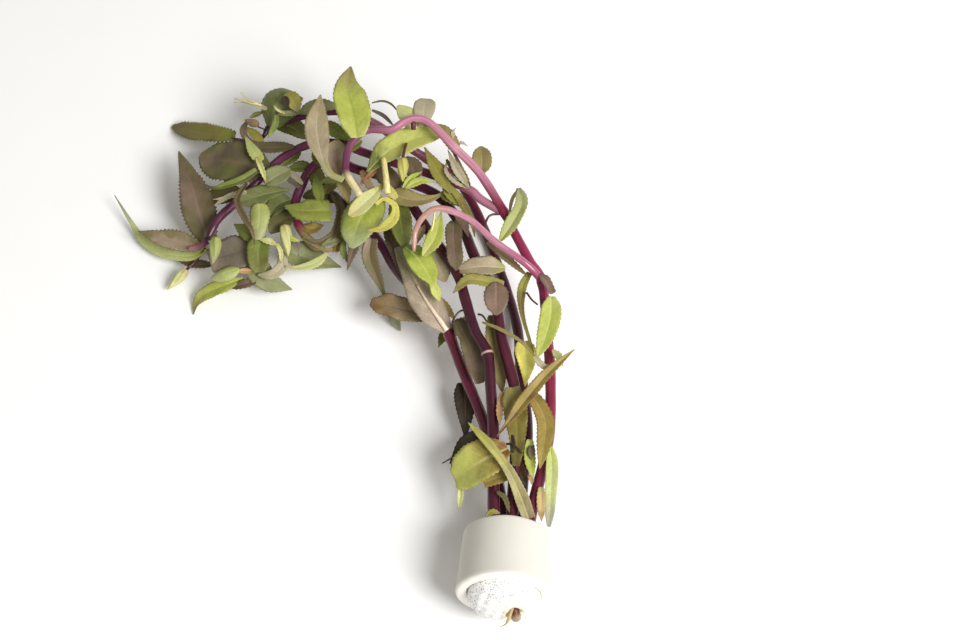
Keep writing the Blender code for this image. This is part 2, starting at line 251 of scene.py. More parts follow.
def ceramic_material():
    """Chalky cast ceramic: warm white with faint clouds and pin holes, with painted light on the lower rim.
    """
    made, tree, shader = new_material("ceramic", 0.72)
    where = add(tree, "TexCoord").outputs["Object"]
    cloud = grain(tree, where, 90.0)
    pores = grain(tree, where, 2600.0, 2.0)
    tone = mixed(tree, cloud, paint(206, 203, 192), paint(215, 212, 203))
    tone = mixed(tree, stretched(tree, pores, 0.66, 0.74), tone, paint(198, 190, 172))
    # Painted light: near-white laid over the lower rim band, whose end faces the lamp.
    tone = laid_over(tree, tone, paint(246, 243, 235), painted(tree, "rim")["X"], 0.85)
    tree.links.new(tone, shader.inputs["Base Color"])
    tree.links.new(stretched(tree, cloud, 0.3, 0.7, 0.62, 0.8), shader.inputs["Roughness"])
    height = maths(tree, "ADD", times(tree, cloud, 1.4), times(tree, pores, -0.25))
    relief(tree, shader, height, 0.12, 0.7)
    return made


def ring_wobble(r, angle, h):
    """A profile point of the ring, moved by the casting's slight lumps and the worn lower rim."""
    lumps = 0.06 * math.sin(3 * angle + 0.3 * h) + 0.04 * math.sin(7 * angle + 1.7 + 0.5 * h)
    wear = WEAR_DEPTH * math.sin(19 * angle + h) if h < WEAR_BAND else 0.0
    on_rim = h < RIM_BAND or h > RING_LENGTH - RIM_BAND
    lift = 0.5 * lumps + 0.4 * wear if on_rim else 0.0
    r += 0.5 * lumps
    return (r * math.cos(angle), r * math.sin(angle), h + lift)


def rim_corner(radius, height, sideways, upwards, arc):
    """Profile points that round off one sharp corner of the ring's wall."""
    return [(radius + sideways * RING_RIM_RADIUS * (1 - s), height + upwards * RING_RIM_RADIUS * (1 - c))
            for s, c in arc]


quarter = [math.pi * step / (2 * RIM_STEPS) for step in range(RIM_STEPS + 1)]
rim = [(math.sin(angle), math.cos(angle)) for angle in quarter]
ring_profile = rim_corner(RING_TOP_RADIUS - RING_WALL, RING_LENGTH, 1, -1, reversed(rim))
ring_profile += rim_corner(RING_TOP_RADIUS, RING_LENGTH, -1, -1, rim)
ring_profile += [(RING_TOP_RADIUS + (RING_BOTTOM_RADIUS - RING_TOP_RADIUS) * step / WALL_STEPS,
                  RING_LENGTH * (1 - step / WALL_STEPS)) for step in range(1, WALL_STEPS)]
ring_profile += rim_corner(RING_BOTTOM_RADIUS, 0, -1, 1, reversed(rim))
ring_profile += rim_corner(RING_BOTTOM_RADIUS - RING_WALL, 0, 1, 1, rim)
ring_points, ring_faces = turned(ring_profile, RING_STEPS, True, ring_wobble)
# The rim mark paints the lower end band whiter, as painted light where it faces the lamp.
ring_rim_light = [(min(1.0, max(0.0, (RIM_BAND - h) / RIM_LIGHT_FADE)), 0, 0) for x, y, h in ring_points]
piece_from("ring", [RING_PLACE @ Vector(p) for p in ring_points], ring_faces, ceramic_material(),
           {"rim": ring_rim_light})

# Plug
# A wad of white mineral wool packed around the stem feet and pushed into the ring. It bulges out
# of the lower end, peppered with dark grit, with a tan stain round the hollow where the root stump
# comes out and painted shade deep in that hollow.
PLUG_RADIUS = 11.15
PLUG_BULGE = 6.4
PLUG_TOP = 13.0
PLUG_EDGE = 1.2
PLUG_BEVEL = ((2.0, 0.0), (0.9, 1.0))
PLUG_STEPS = 96
PLUG_POLE = 0.02
DOME_STEPS = 26
SIDE_SWELL = 0.028
FLAT_SIDE = 0.25
HOLLOW = Vector((3.5, -1.2, -5.9))
HOLLOW_WIDTH = 2.2
HOLLOW_DEPTH = 3.0
HOLLOW_EDGE = 2.2
STAIN_WIDTH = 4.2
HOLLOW_SHADE_WIDTH = 1.9
GRIT_START = 3.6
GRIT_BAND = 5.0
GRIT_TOP = 3.0
TOP_GRIT_SHARE = 0.3


def wool_material():
    """White wool: a fibrous lumpy skin with dark grit near the rim, a tan stain at the hollow and painted
    shade deep in it.
    """
    made, tree, shader = new_material("foam", 0.9)
    where = add(tree, "TexCoord").outputs["Object"]
    lumps = grain(tree, where, 420.0, 5.0)
    fibre = grain(tree, where, 1900.0, 4.0)
    dots = add(tree, "TexVoronoi", {"Vector": where, "Scale": 1800.0}).outputs
    patch = grain(tree, where, 150.0)
    mark = painted(tree, "wool")
    chosen = add(tree, "SeparateXYZ", {"Vector": dots["Color"]}).outputs["X"]
    speck = times(tree, stretched(tree, dots["Distance"], 0.44, 0.24), stretched(tree, chosen, 0.25, 0.35))
    speck = times(tree, speck, stretched(tree, patch, 0.3, 0.44))
    speck = times(tree, speck, mark["Y"])
    tone = mixed(tree, stretched(tree, lumps, 0.3, 0.6), paint(238, 238, 234), paint(255, 255, 253))
    tone = laid_over(tree, tone, paint(222, 196, 148), mark["X"], 0.75)
    # Painted shade: dark brown laid deep in the hollow where the root comes out.
    tone = laid_over(tree, tone, paint(128, 88, 58), mark["Z"], 0.9)
    tone = laid_over(tree, tone, paint(92, 90, 86), speck, 0.9)
    tree.links.new(tone, shader.inputs["Base Color"])
    tree.links.new(stretched(tree, fibre, 0.3, 0.7, 0.8, 1.0), shader.inputs["Roughness"])
    height = maths(tree, "ADD", lumps, times(tree, fibre, 0.5))
    relief(tree, shader, height, 0.5, 0.8)
    return made


def plug_wobble(r, angle, h):
    """A profile point of the plug: swelled but for its left side, with a lumpy hollowed dome."""
    swelled = 1 - math.exp(-((math.cos(angle) + 1) / FLAT_SIDE) ** 2)
    r *= 1 + SIDE_SWELL * swelled * min(1, r / PLUG_RADIUS) ** 4
    if h > 0:
        return (r * math.cos(angle), r * math.sin(angle), h)
    x, y = r * math.cos(angle), r * math.sin(angle)
    lumps = (0.30 * math.sin(0.9 * x + 1.3 * y) * math.cos(1.1 * x - 0.7 * y)
             + 0.16 * math.sin(2.3 * x - 1.9 * y + 1) * math.sin(2.1 * y + 0.5)
             + 0.08 * math.sin(5.1 * x + 0.4) * math.sin(4.7 * y))
    place = Vector((x, y, h - lumps))
    dent = math.exp(-((place - HOLLOW).length / HOLLOW_WIDTH) ** 2 * HOLLOW_EDGE)
    return (x, y, h - lumps + HOLLOW_DEPTH * dent)


plug_profile = [(PLUG_POLE, PLUG_TOP)]
plug_profile += [(PLUG_RADIUS - inset, PLUG_TOP - drop) for inset, drop in PLUG_BEVEL]
plug_profile += [(PLUG_RADIUS, PLUG_EDGE)]
for step in range(DOME_STEPS - 1, 0, -1):
    slope = math.pi * step / (2 * DOME_STEPS)
    plug_profile.append((PLUG_RADIUS * math.sin(slope), -PLUG_BULGE * math.cos(slope) ** 0.9))
plug_profile += [(PLUG_POLE, -PLUG_BULGE)]
plug_points, plug_faces = turned(plug_profile, PLUG_STEPS, False, plug_wobble)
plug_marks = []
for x, y, h in plug_points:
    from_hollow = (Vector((x, y, h)) - HOLLOW).length
    stain = math.exp(-(from_hollow / STAIN_WIDTH) ** 2)
    # The hollow's painted shade, narrower than its stain.
    hollow_shade = math.exp(-(from_hollow / HOLLOW_SHADE_WIDTH) ** 4)
    grit = min(1.0, max(0.0, (math.hypot(x, y) - GRIT_START) / GRIT_BAND))
    grit *= 1.0 if y < GRIT_TOP else TOP_GRIT_SHARE
    plug_marks.append((stain, grit, hollow_shade))
piece_from("plug", [RING_PLACE @ Vector(p) for p in plug_points], plug_faces, wool_material(),
           {"wool": plug_marks})

# Stems
# Round fleshy stalks, maroon, purple and pink. Painted shade darkens each stem to near-black maroon
# on the stretches that lie in shade, and the pink is partly the stems' own colour and partly painted
# light where the light falls on them. They swell at the nodes, where pairs of leaves grew, and one
# node shows its pale scar. The feet are pushed into the plug; two side shoots grow from the fifth stem.
STALK_SIDES = 18
STALK_PITCH = 1.3
CURVE_STEPS = 16
NODE_REACH = 1.5
SCAR_ROWS = 2
END_ROWS = 3
FAR_AWAY = 99.0
STALK_RIBS = 4
STALK_RIB_HEIGHT = 0.025


def smooth_line(points, count):
    """Evenly spaced points along a smooth curve through the given points."""
    nodes = np.array(points, dtype=float)
    nodes = np.vstack([2 * nodes[0] - nodes[1], nodes, 2 * nodes[-1] - nodes[-2]])
    dense = []
    for i in range(1, len(nodes) - 2):
        a, b, c, d = nodes[i - 1:i + 3]
        for t in np.arange(CURVE_STEPS) / CURVE_STEPS:
            dense.append(0.5 * (2 * b + (c - a) * t + (2 * a - 5 * b + 4 * c - d) * t ** 2
                                + (3 * b - 3 * c + d - a) * t ** 3))
    dense = np.array(dense + [nodes[-2]])
    reach = np.concatenate([[0], np.cumsum(np.linalg.norm(np.diff(dense, axis=0), axis=1))])
    even = np.linspace(0, reach[-1], count)
    return np.stack([np.interp(even, reach, dense[:, k]) for k in range(3)], axis=1), reach[-1]


def carried_frame(line):
    """Unit vectors to the side and up along a line, carried without twisting."""
    ahead = np.gradient(line, axis=0)
    ahead /= np.linalg.norm(ahead, axis=1)[:, None]
    start = np.cross(ahead[0], (0, 0, 1))
    side = [start / np.linalg.norm(start)]
    for direction in ahead[1:]:
        turned_side = side[-1] - direction * np.dot(side[-1], direction)
        side.append(turned_side / np.linalg.norm(turned_side))
    side = np.array(side)
    return side, np.cross(side, ahead)


def tube_faces(rows, sides):
    """Faces of a tube of point rings laid row after row, closed at both ends."""
    faces = []
    for i in range(rows):
        here = i * sides
        there = here + sides
        for k in range(sides):
            after = (k + 1) % sides
            faces.append((here + k, here + after, there + after, there + k))
    faces.append(tuple(reversed(range(sides))))
    faces.append(tuple(range(rows * sides, (rows + 1) * sides)))
    return faces


def effect(name, inputs):
    """A new node group with named colour (a tuple) and number inputs, and its two end nodes.

    It gives a skin's colour, the height of its relief and its roughness.
    """
    group = bpy.data.node_groups.new(name, "ShaderNodeTree")
    for label, value in inputs.items():
        kind = "NodeSocketColor" if isinstance(value, tuple) else "NodeSocketFloat"
        socket = group.interface.new_socket(label, in_out="INPUT", socket_type=kind)
        socket.default_value = value
    for label, kind in (("Colour", "Color"), ("Height", "Float"), ("Roughness", "Float")):
        group.interface.new_socket(label, in_out="OUTPUT", socket_type="NodeSocket" + kind)
    return group, group.nodes.new("NodeGroupInput").outputs, group.nodes.new("NodeGroupOutput")


def stalk_effect():
    """Stem skin: a tint streaked along the stem, a pale node scar and fine lengthwise ribs."""
    inputs = {"Tint": (0.1, 0.01, 0.03, 1.0), "Scar": (0.5, 0.3, 0.2, 1.0), "Streak": (0.2, 0.02, 0.08, 1.0)}
    group, given, out = effect("stalk skin", inputs)
    parts = painted(group, "stalk")
    where = add(group, "TexCoord").outputs["Object"]
    around = times(group, parts["Z"], 9.0)
    lengthwise = times(group, parts["X"], 5.0)
    streaks = grain(group, add(group, "CombineXYZ", {"X": around, "Y": lengthwise}).outputs[0], 1.6, 4.0)
    cloud = grain(group, where, 260.0)
    fine = grain(group, where, 2200.0)
    tone = mixed(group, stretched(group, streaks, 0.42, 0.75), given["Tint"], given["Streak"])
    tone = laid_over(group, tone, given["Streak"], stretched(group, cloud, 0.45, 0.8), 0.35)
    tone = laid_over(group, tone, given["Scar"], stretched(group, parts["Y"], 0.78, 0.92), 0.8)
    group.links.new(tone, out.inputs["Colour"])
    height = maths(group, "ADD", streaks, times(group, fine, 0.25))
    group.links.new(height, out.inputs["Height"])
    group.links.new(stretched(group, fine, 0.3, 0.8, 0.26, 0.5), out.inputs["Roughness"])
    return group


STALK_EFFECT = stalk_effect()
SCAR = paint(206, 176, 158)


def stalk_material(name, tints, gloss=0.28):
    """Stem material with its tints from foot to tip, each a place along the stem and a colour."""
    made, tree, shader = new_material(name, 0.3)
    ramp = add(tree, "ValToRGB", {"Fac": painted(tree, "stalk")["X"]})
    stops = ramp.color_ramp.elements
    while len(stops) < len(tints):
        stops.new(0.5)
    for stop, (place, colour) in zip(stops, sorted(tints)):
        stop.position = place
        stop.color = colour
    skin = add(tree, "Group", node_tree=STALK_EFFECT)
    tree.links.new(ramp.outputs["Color"], skin.inputs["Tint"])
    lighter = add(tree, "HueSaturation", {"Color": ramp.outputs["Color"], "Value": 1.7, "Saturation": 0.95})
    tree.links.new(lighter.outputs["Color"], skin.inputs["Streak"])
    skin.inputs["Scar"].default_value = SCAR
    tree.links.new(skin.outputs["Colour"], shader.inputs["Base Color"])
    tree.links.new(skin.outputs["Roughness"], shader.inputs["Roughness"])
    shader.inputs["Specular IOR Level"].default_value = 0.3
    shader.inputs["Coat Weight"].default_value = gloss
    shader.inputs["Coat Roughness"].default_value = 0.14
    relief(tree, shader, skin.outputs["Height"], 0.12, 0.5)
    return made


def stalk(name, skin, foot_radius, tip_radius, route, joints=(), swell=0.16, end_taper=1.0,
          scarred=False):
    """A tapering stalk along its route, with a swollen node at each joint share, scarred or not."""
    length = smooth_line(route, 2)[1]
    rows = max(8, round(length / STALK_PITCH))
    line = smooth_line(route, rows + 1)[0]
    side, up = carried_frame(line)
    points, marks = [], []
    for i, centre in enumerate(line):
        along = i / rows
        radius = foot_radius + (tip_radius - foot_radius) * along
        from_joint = min((abs(along - joint) * length for joint in joints), default=FAR_AWAY)
        from_scar = min((abs(i - round(joint * rows)) for joint in joints), default=FAR_AWAY)
        scar = max(0.0, 1 - from_scar / SCAR_ROWS) if scarred else 0.0
        radius *= 1 + swell * math.exp(-(from_joint / NODE_REACH) ** 2)
        radius *= 1 + 0.02 * math.sin(0.9 * i) + 0.015 * math.sin(0.37 * i + 1)
        if i > rows - END_ROWS:
            radius *= end_taper ** (i - rows + END_ROWS)
        for k in range(STALK_SIDES):
            angle = 2 * math.pi * k / STALK_SIDES
            rib = 1 + STALK_RIB_HEIGHT * math.cos(STALK_RIBS * angle)
            points.append(centre + radius * rib * (math.cos(angle) * side[i] + math.sin(angle) * up[i]))
            marks.append((along, scar, abs(k / STALK_SIDES - 0.5) * 2))
    piece_from(name, points, tube_faces(rows, STALK_SIDES), skin, {"stalk": marks})


MAROON = paint(72, 20, 38)
WINE = paint(90, 19, 44)
CRIMSON = paint(118, 24, 54)
MAGENTA = paint(134, 38, 80)
# PINK and ROSE are partly the stems' own colour and partly painted light where the light falls on them.
PINK = paint(166, 104, 126)
ROSE = paint(184, 126, 142)
SALMON = paint(172, 130, 116)
PLUM = paint(88, 34, 64)
MAUVE = paint(128, 74, 96)
# Painted shade: this near-black maroon is laid on the stretches of stem that lie in shade.
SHADE_MAROON = paint(56, 17, 32)
STRAW = paint(200, 186, 138)
BARK = paint(126, 106, 72)

stalk("stem_1",
      stalk_material("stem 1", ((0.0, MAROON), (0.3, WINE), (0.55, WINE), (0.62, SHADE_MAROON), (1.0, PLUM))),
      2.0, 1.5, ((1, 8, 11), (1, 19, 11), (0, 30, 11), (-5, 57, 12), (-11.5, 75, 13.5), (-14.5, 83, 14.5),
                 (-18, 93, 15.5), (-21, 100, 15.5), (-34, 114, 15), (-41, 127, 13.5), (-49, 138.5, 12),
                 (-58.5, 148.5, 10), (-64, 155, 9)), (0.515,))
stalk("stem_2",
      stalk_material("stem 2", ((0.0, MAROON), (0.6, SHADE_MAROON), (1.0, MAROON)), 0.12),
      1.9, 1.6, ((-2, 8, 17.5), (-2.5, 19, 17.5), (-3, 30, 17.5), (-3, 54, 19), (-4, 71, 21.5),
                 (-5, 80.5, 22.5), (-9, 88.5, 23.5), (-12, 99, 24.5), (-15, 109, 25), (-25, 126.5, 24),
                 (-31.5, 139, 22)), (0.525,), scarred=True)
stalk("stem_3",
      stalk_material("stem 3", ((0.0, MAROON), (0.3, MAROON), (0.6, SHADE_MAROON), (0.72, WINE), (0.88, PLUM),
                                (0.935, CRIMSON), (0.955, BARK), (1.0, BARK)), 0.14),
      1.9, 1.6, ((2.5, 8, 17), (2.5, 19, 17), (3, 30, 17), (4.5, 55, 19), (4, 68, 20.5), (0, 85, 22.5),
                 (-3, 103, 23), (-9, 116, 23), (-13, 127, 22.5), (-20, 139, 21.5), (-30, 146, 20),
                 (-48, 152, 19), (-55, 156, 18), (-61, 157, 17), (-65.5, 154, 15.5), (-68, 149, 14),
                 (-70, 143, 12.5), (-69, 135.5, 12), (-64, 127.5, 12), (-58.5, 124.5, 11.5)), (0.9,),
      end_taper=0.6)
stalk("stem_4",
      stalk_material("stem 4", ((0.0, MAROON), (0.5, SHADE_MAROON), (0.7, WINE), (0.8, PINK), (0.86, PLUM),
                                (1.0, SHADE_MAROON)), 0.14),
      1.8, 1.4, ((5, 8, 10.5), (5.5, 19, 10.5), (5.5, 30, 11), (8, 56, 10.5), (7.5, 69, 9.5), (6, 84, 7),
                 (5.5, 97, 4.5), (3, 110.5, 2.2), (-1.5, 126, 1.6), (-5.5, 138, 2.2), (-11, 150, 4.5),
                 (-17, 156, 9), (-29, 160.5, 17), (-36.5, 164.5, 20), (-44, 170, 21), (-55.5, 174.5, 21),
                 (-69, 174, 18.5), (-79, 171.5, 16), (-82, 167.5, 15)), (0.35, 0.72), end_taper=0.75)
stalk("stem_5",
      stalk_material("stem 5", ((0.0, MAROON), (0.3, CRIMSON), (0.46, MAGENTA), (0.57, CRIMSON),
                                (0.592, CRIMSON), (0.645, PINK), (0.71, ROSE), (0.82, PINK),
                                (0.87, MAUVE), (0.955, PLUM), (0.968, STRAW), (1.0, STRAW))),
      1.9, 1.2, ((7.5, 8, 16), (8, 19, 16), (9, 28, 16), (14.5, 52, 17), (15.5, 73, 18), (14.5, 92, 20),
                 (13, 107.5, 22), (9, 114, 24), (3.5, 124.5, 26.5), (0.5, 130.5, 28), (-7.5, 143.5, 31),
                 (-16.5, 152.5, 34), (-24, 160, 36), (-28.5, 161.5, 36.5), (-32.5, 160.5, 36),
                 (-37, 158, 35), (-44, 159, 33.5), (-48, 157, 33), (-51, 152.5, 32.5), (-52, 147, 32),
                 (-51.5, 143, 31), (-47, 136, 29)), (0.325, 0.46, 0.585))
stalk("shoot_6",
      stalk_material("shoot 6", ((0.0, ROSE), (0.1, PINK), (0.2, WINE), (0.6, PLUM), (0.85, PLUM),
                                 (1.0, SHADE_MAROON))),
      1.5, 1.5, ((0.5, 130.5, 27.6), (-4, 134, 26.3), (-7.5, 137, 25.5), (-11, 140.5, 25.5),
                 (-22.5, 146.5, 24.5), (-36, 151.5, 24.5), (-46, 155.5, 24.5), (-55, 159.5, 24),
                 (-65, 160.5, 22), (-75.5, 157.5, 17), (-85, 148.5, 13.5), (-90.5, 142.5, 13),
                 (-96, 136, 13), (-99.2, 129, 12)), (0.5, 0.75), end_taper=0.8)
stalk("shoot_7",
      stalk_material("shoot 7", ((0.0, MAGENTA), (0.25, PINK), (0.6, ROSE), (0.7, SALMON),
                                 (1.0, SALMON)), 0.7),
      1.3, 0.9, ((13, 107, 23.5), (7.5, 110.5, 28.5), (-2.5, 117, 31.5), (-11, 124, 34), (-20.5, 127.5, 35),
                 (-25.5, 125.5, 33.5), (-28.5, 121.5, 30), (-29, 116, 26.5)), (0.64,), end_taper=0.85)

# Root end
# The woody brown stump of the old root, broken off short. It grows on from the stems' feet, comes
# out of the plug's hollow and droops a little, with a curl of dry skin peeled off beside it.
# Partly the root's own brown and partly painted shade: the dark brown runs up the stump to where it leaves
# the hollow.
ROOT_BROWN_AND_SHADE = paint(88, 46, 28)
ROOT_TAN = paint(142, 124, 98)
ROOT_KHAKI = paint(170, 152, 106)
stalk("root_end",
      stalk_material("root end", ((0.0, ROOT_BROWN_AND_SHADE), (0.8, ROOT_BROWN_AND_SHADE), (0.9, ROOT_TAN)), 0.0),
      1.4, 1.55, ((4, 4, 15), (3.3, -1, 15.4), (3.5, -5.1, 15.2), (4.0, -6.9, 13.1)), (0.9,),
      swell=0.1, end_taper=0.95)
stalk("root_skin",
      stalk_material("root skin", ((0.0, ROOT_TAN), (0.4, ROOT_KHAKI), (1.0, ROOT_KHAKI)), 0.0),
      0.65, 0.4, ((2.8, -4.3, 17.8), (2.0, -6.4, 16.8), (1.6, -7.5, 15), (0.7, -8.5, 13.1),
                  (-1, -9, 12.2)), (0.55,), swell=0.1, end_taper=0.7)

# Leaves
# Thin toothed blades in opposite pairs, folded on a pale midrib. Wilting has rolled and bent them:
# young ones are lime, older ones olive, tan or purple-brown, with stained patches.
TOOTH_PITCH = 1.4
TOOTH_SHAPE = (-0.5, 0.1, 0.8)
BLADE_COLUMNS = 10
RIB_HEIGHT = 0.16
RIB_THICKNESS = 0.12
RIB_SHARE = 0.12
BLADE_THICKNESS = 0.28
MARGIN_SHARE = 0.35
UPPER_SHARE = 0.8
NARROWEST = 0.04
QUILT_DEPTH = 0.10
RIPPLE_PACE = 0.55
SMALL_RIPPLE = 0.6
VEIN_PAIRS = 8.0
VEIN_SLANT = 1.7
PLAIN = (0.16, 0.62, 0.93, 1.0, 0.88, 0.62, 0.32, 0.05)
ROUND = (0.2, 0.7, 0.95, 1.0, 0.98, 0.86, 0.6, 0.12)
BROAD_FOOT = (0.6, 0.95, 1.0, 0.9, 0.72, 0.5, 0.26, 0.04)
STRAP = (0.5, 0.8, 0.95, 1.0, 0.95, 0.8, 0.5, 0.08)
CUT = (0.3, 0.75, 0.95, 1.0, 0.96, 0.9, 0.82, 0.7)


def leaf_effect():
    """Leaf skin: foot, face and tip tints, midrib and side veins, an edge, an underside and stains."""
    inputs = {label: (0.3, 0.3, 0.1, 1.0) for label in LEAF_TINTS}
    inputs.update({"Tip Start": 0.6, "Stain Share": 0.3})
    group, given, out = effect("leaf skin", inputs)
    parts = painted(group, "blade")
    side = maths(group, "ABSOLUTE", parts["X"])
    along = parts["Y"]
    where = add(group, "TexCoord").outputs["Object"]
    cloud = grain(group, where, 190.0)
    patch = grain(group, where, 75.0, 4.0)
    fine = grain(group, where, 1300.0, 4.0)
    swirl = times(group, maths(group, "SUBTRACT", cloud, 0.5), 0.5)
    place = maths(group, "ADD", along, swirl)
    foot_end = times(group, given["Tip Start"], 0.55)
    tone = mixed(group, stretched(group, place, given["Tip Start"], 1.0), given["Face"], given["Tip"])
    tone = mixed(group, stretched(group, place, foot_end, 0.05), tone, given["Foot"])
    phase = maths(group, "SUBTRACT", times(group, along, VEIN_PAIRS), times(group, side, VEIN_SLANT))
    wave = times(group, maths(group, "PINGPONG", phase, 0.5), 2.0)
    lateral = times(group, stretched(group, wave, 0.22, 0.0), stretched(group, side, 1.0, 0.5))
    width = maths(group, "SUBTRACT", 0.19, times(group, along, 0.13))
    midrib = times(group, stretched(group, side, width, 0.02), stretched(group, along, 1.05, 0.5))
    veins = maths(group, "MAXIMUM", midrib, times(group, lateral, 0.42))
    stain_low = maths(group, "SUBTRACT", 0.78, given["Stain Share"])
    stain = stretched(group, maths(group, "ADD", patch, times(group, swirl, 0.3)),
                      stain_low, maths(group, "ADD", stain_low, 0.14))
    border = stretched(group, maths(group, "ADD", side, swirl), 0.86, 1.0)
    tone = laid_over(group, tone, given["Vein"], stretched(group, cloud, 0.5, 0.75), 0.22)
    tone = laid_over(group, tone, given["Stain"], stain, 0.85)
    tone = laid_over(group, tone, given["Vein"], veins, 0.7)
    tone = laid_over(group, tone, given["Edge"], border, 0.7)
    back = laid_over(group, given["Under"], given["Vein"], veins, 0.6)
    tone = mixed(group, parts["Z"], back, tone)
    shade = times(group, stretched(group, fine, 0.25, 0.75, 0.89, 1.04),
                  stretched(group, cloud, 0.25, 0.75, 0.93, 1.07))
    tone = add(group, "HueSaturation", {"Color": tone, "Value": shade}).outputs[0]
    group.links.new(tone, out.inputs["Colour"])
    height = maths(group, "SUBTRACT", times(group, fine, 0.35), times(group, veins, 0.9))
    group.links.new(height, out.inputs["Height"])
    roughness = maths(group, "ADD", stretched(group, fine, 0.2, 0.8, 0.36, 0.58), times(group, stain, 0.15))
    group.links.new(roughness, out.inputs["Roughness"])
    return group


LEAF_TINTS = ("Face", "Tip", "Edge", "Vein", "Under", "Stain", "Foot")
LEAF_EFFECT = leaf_effect()

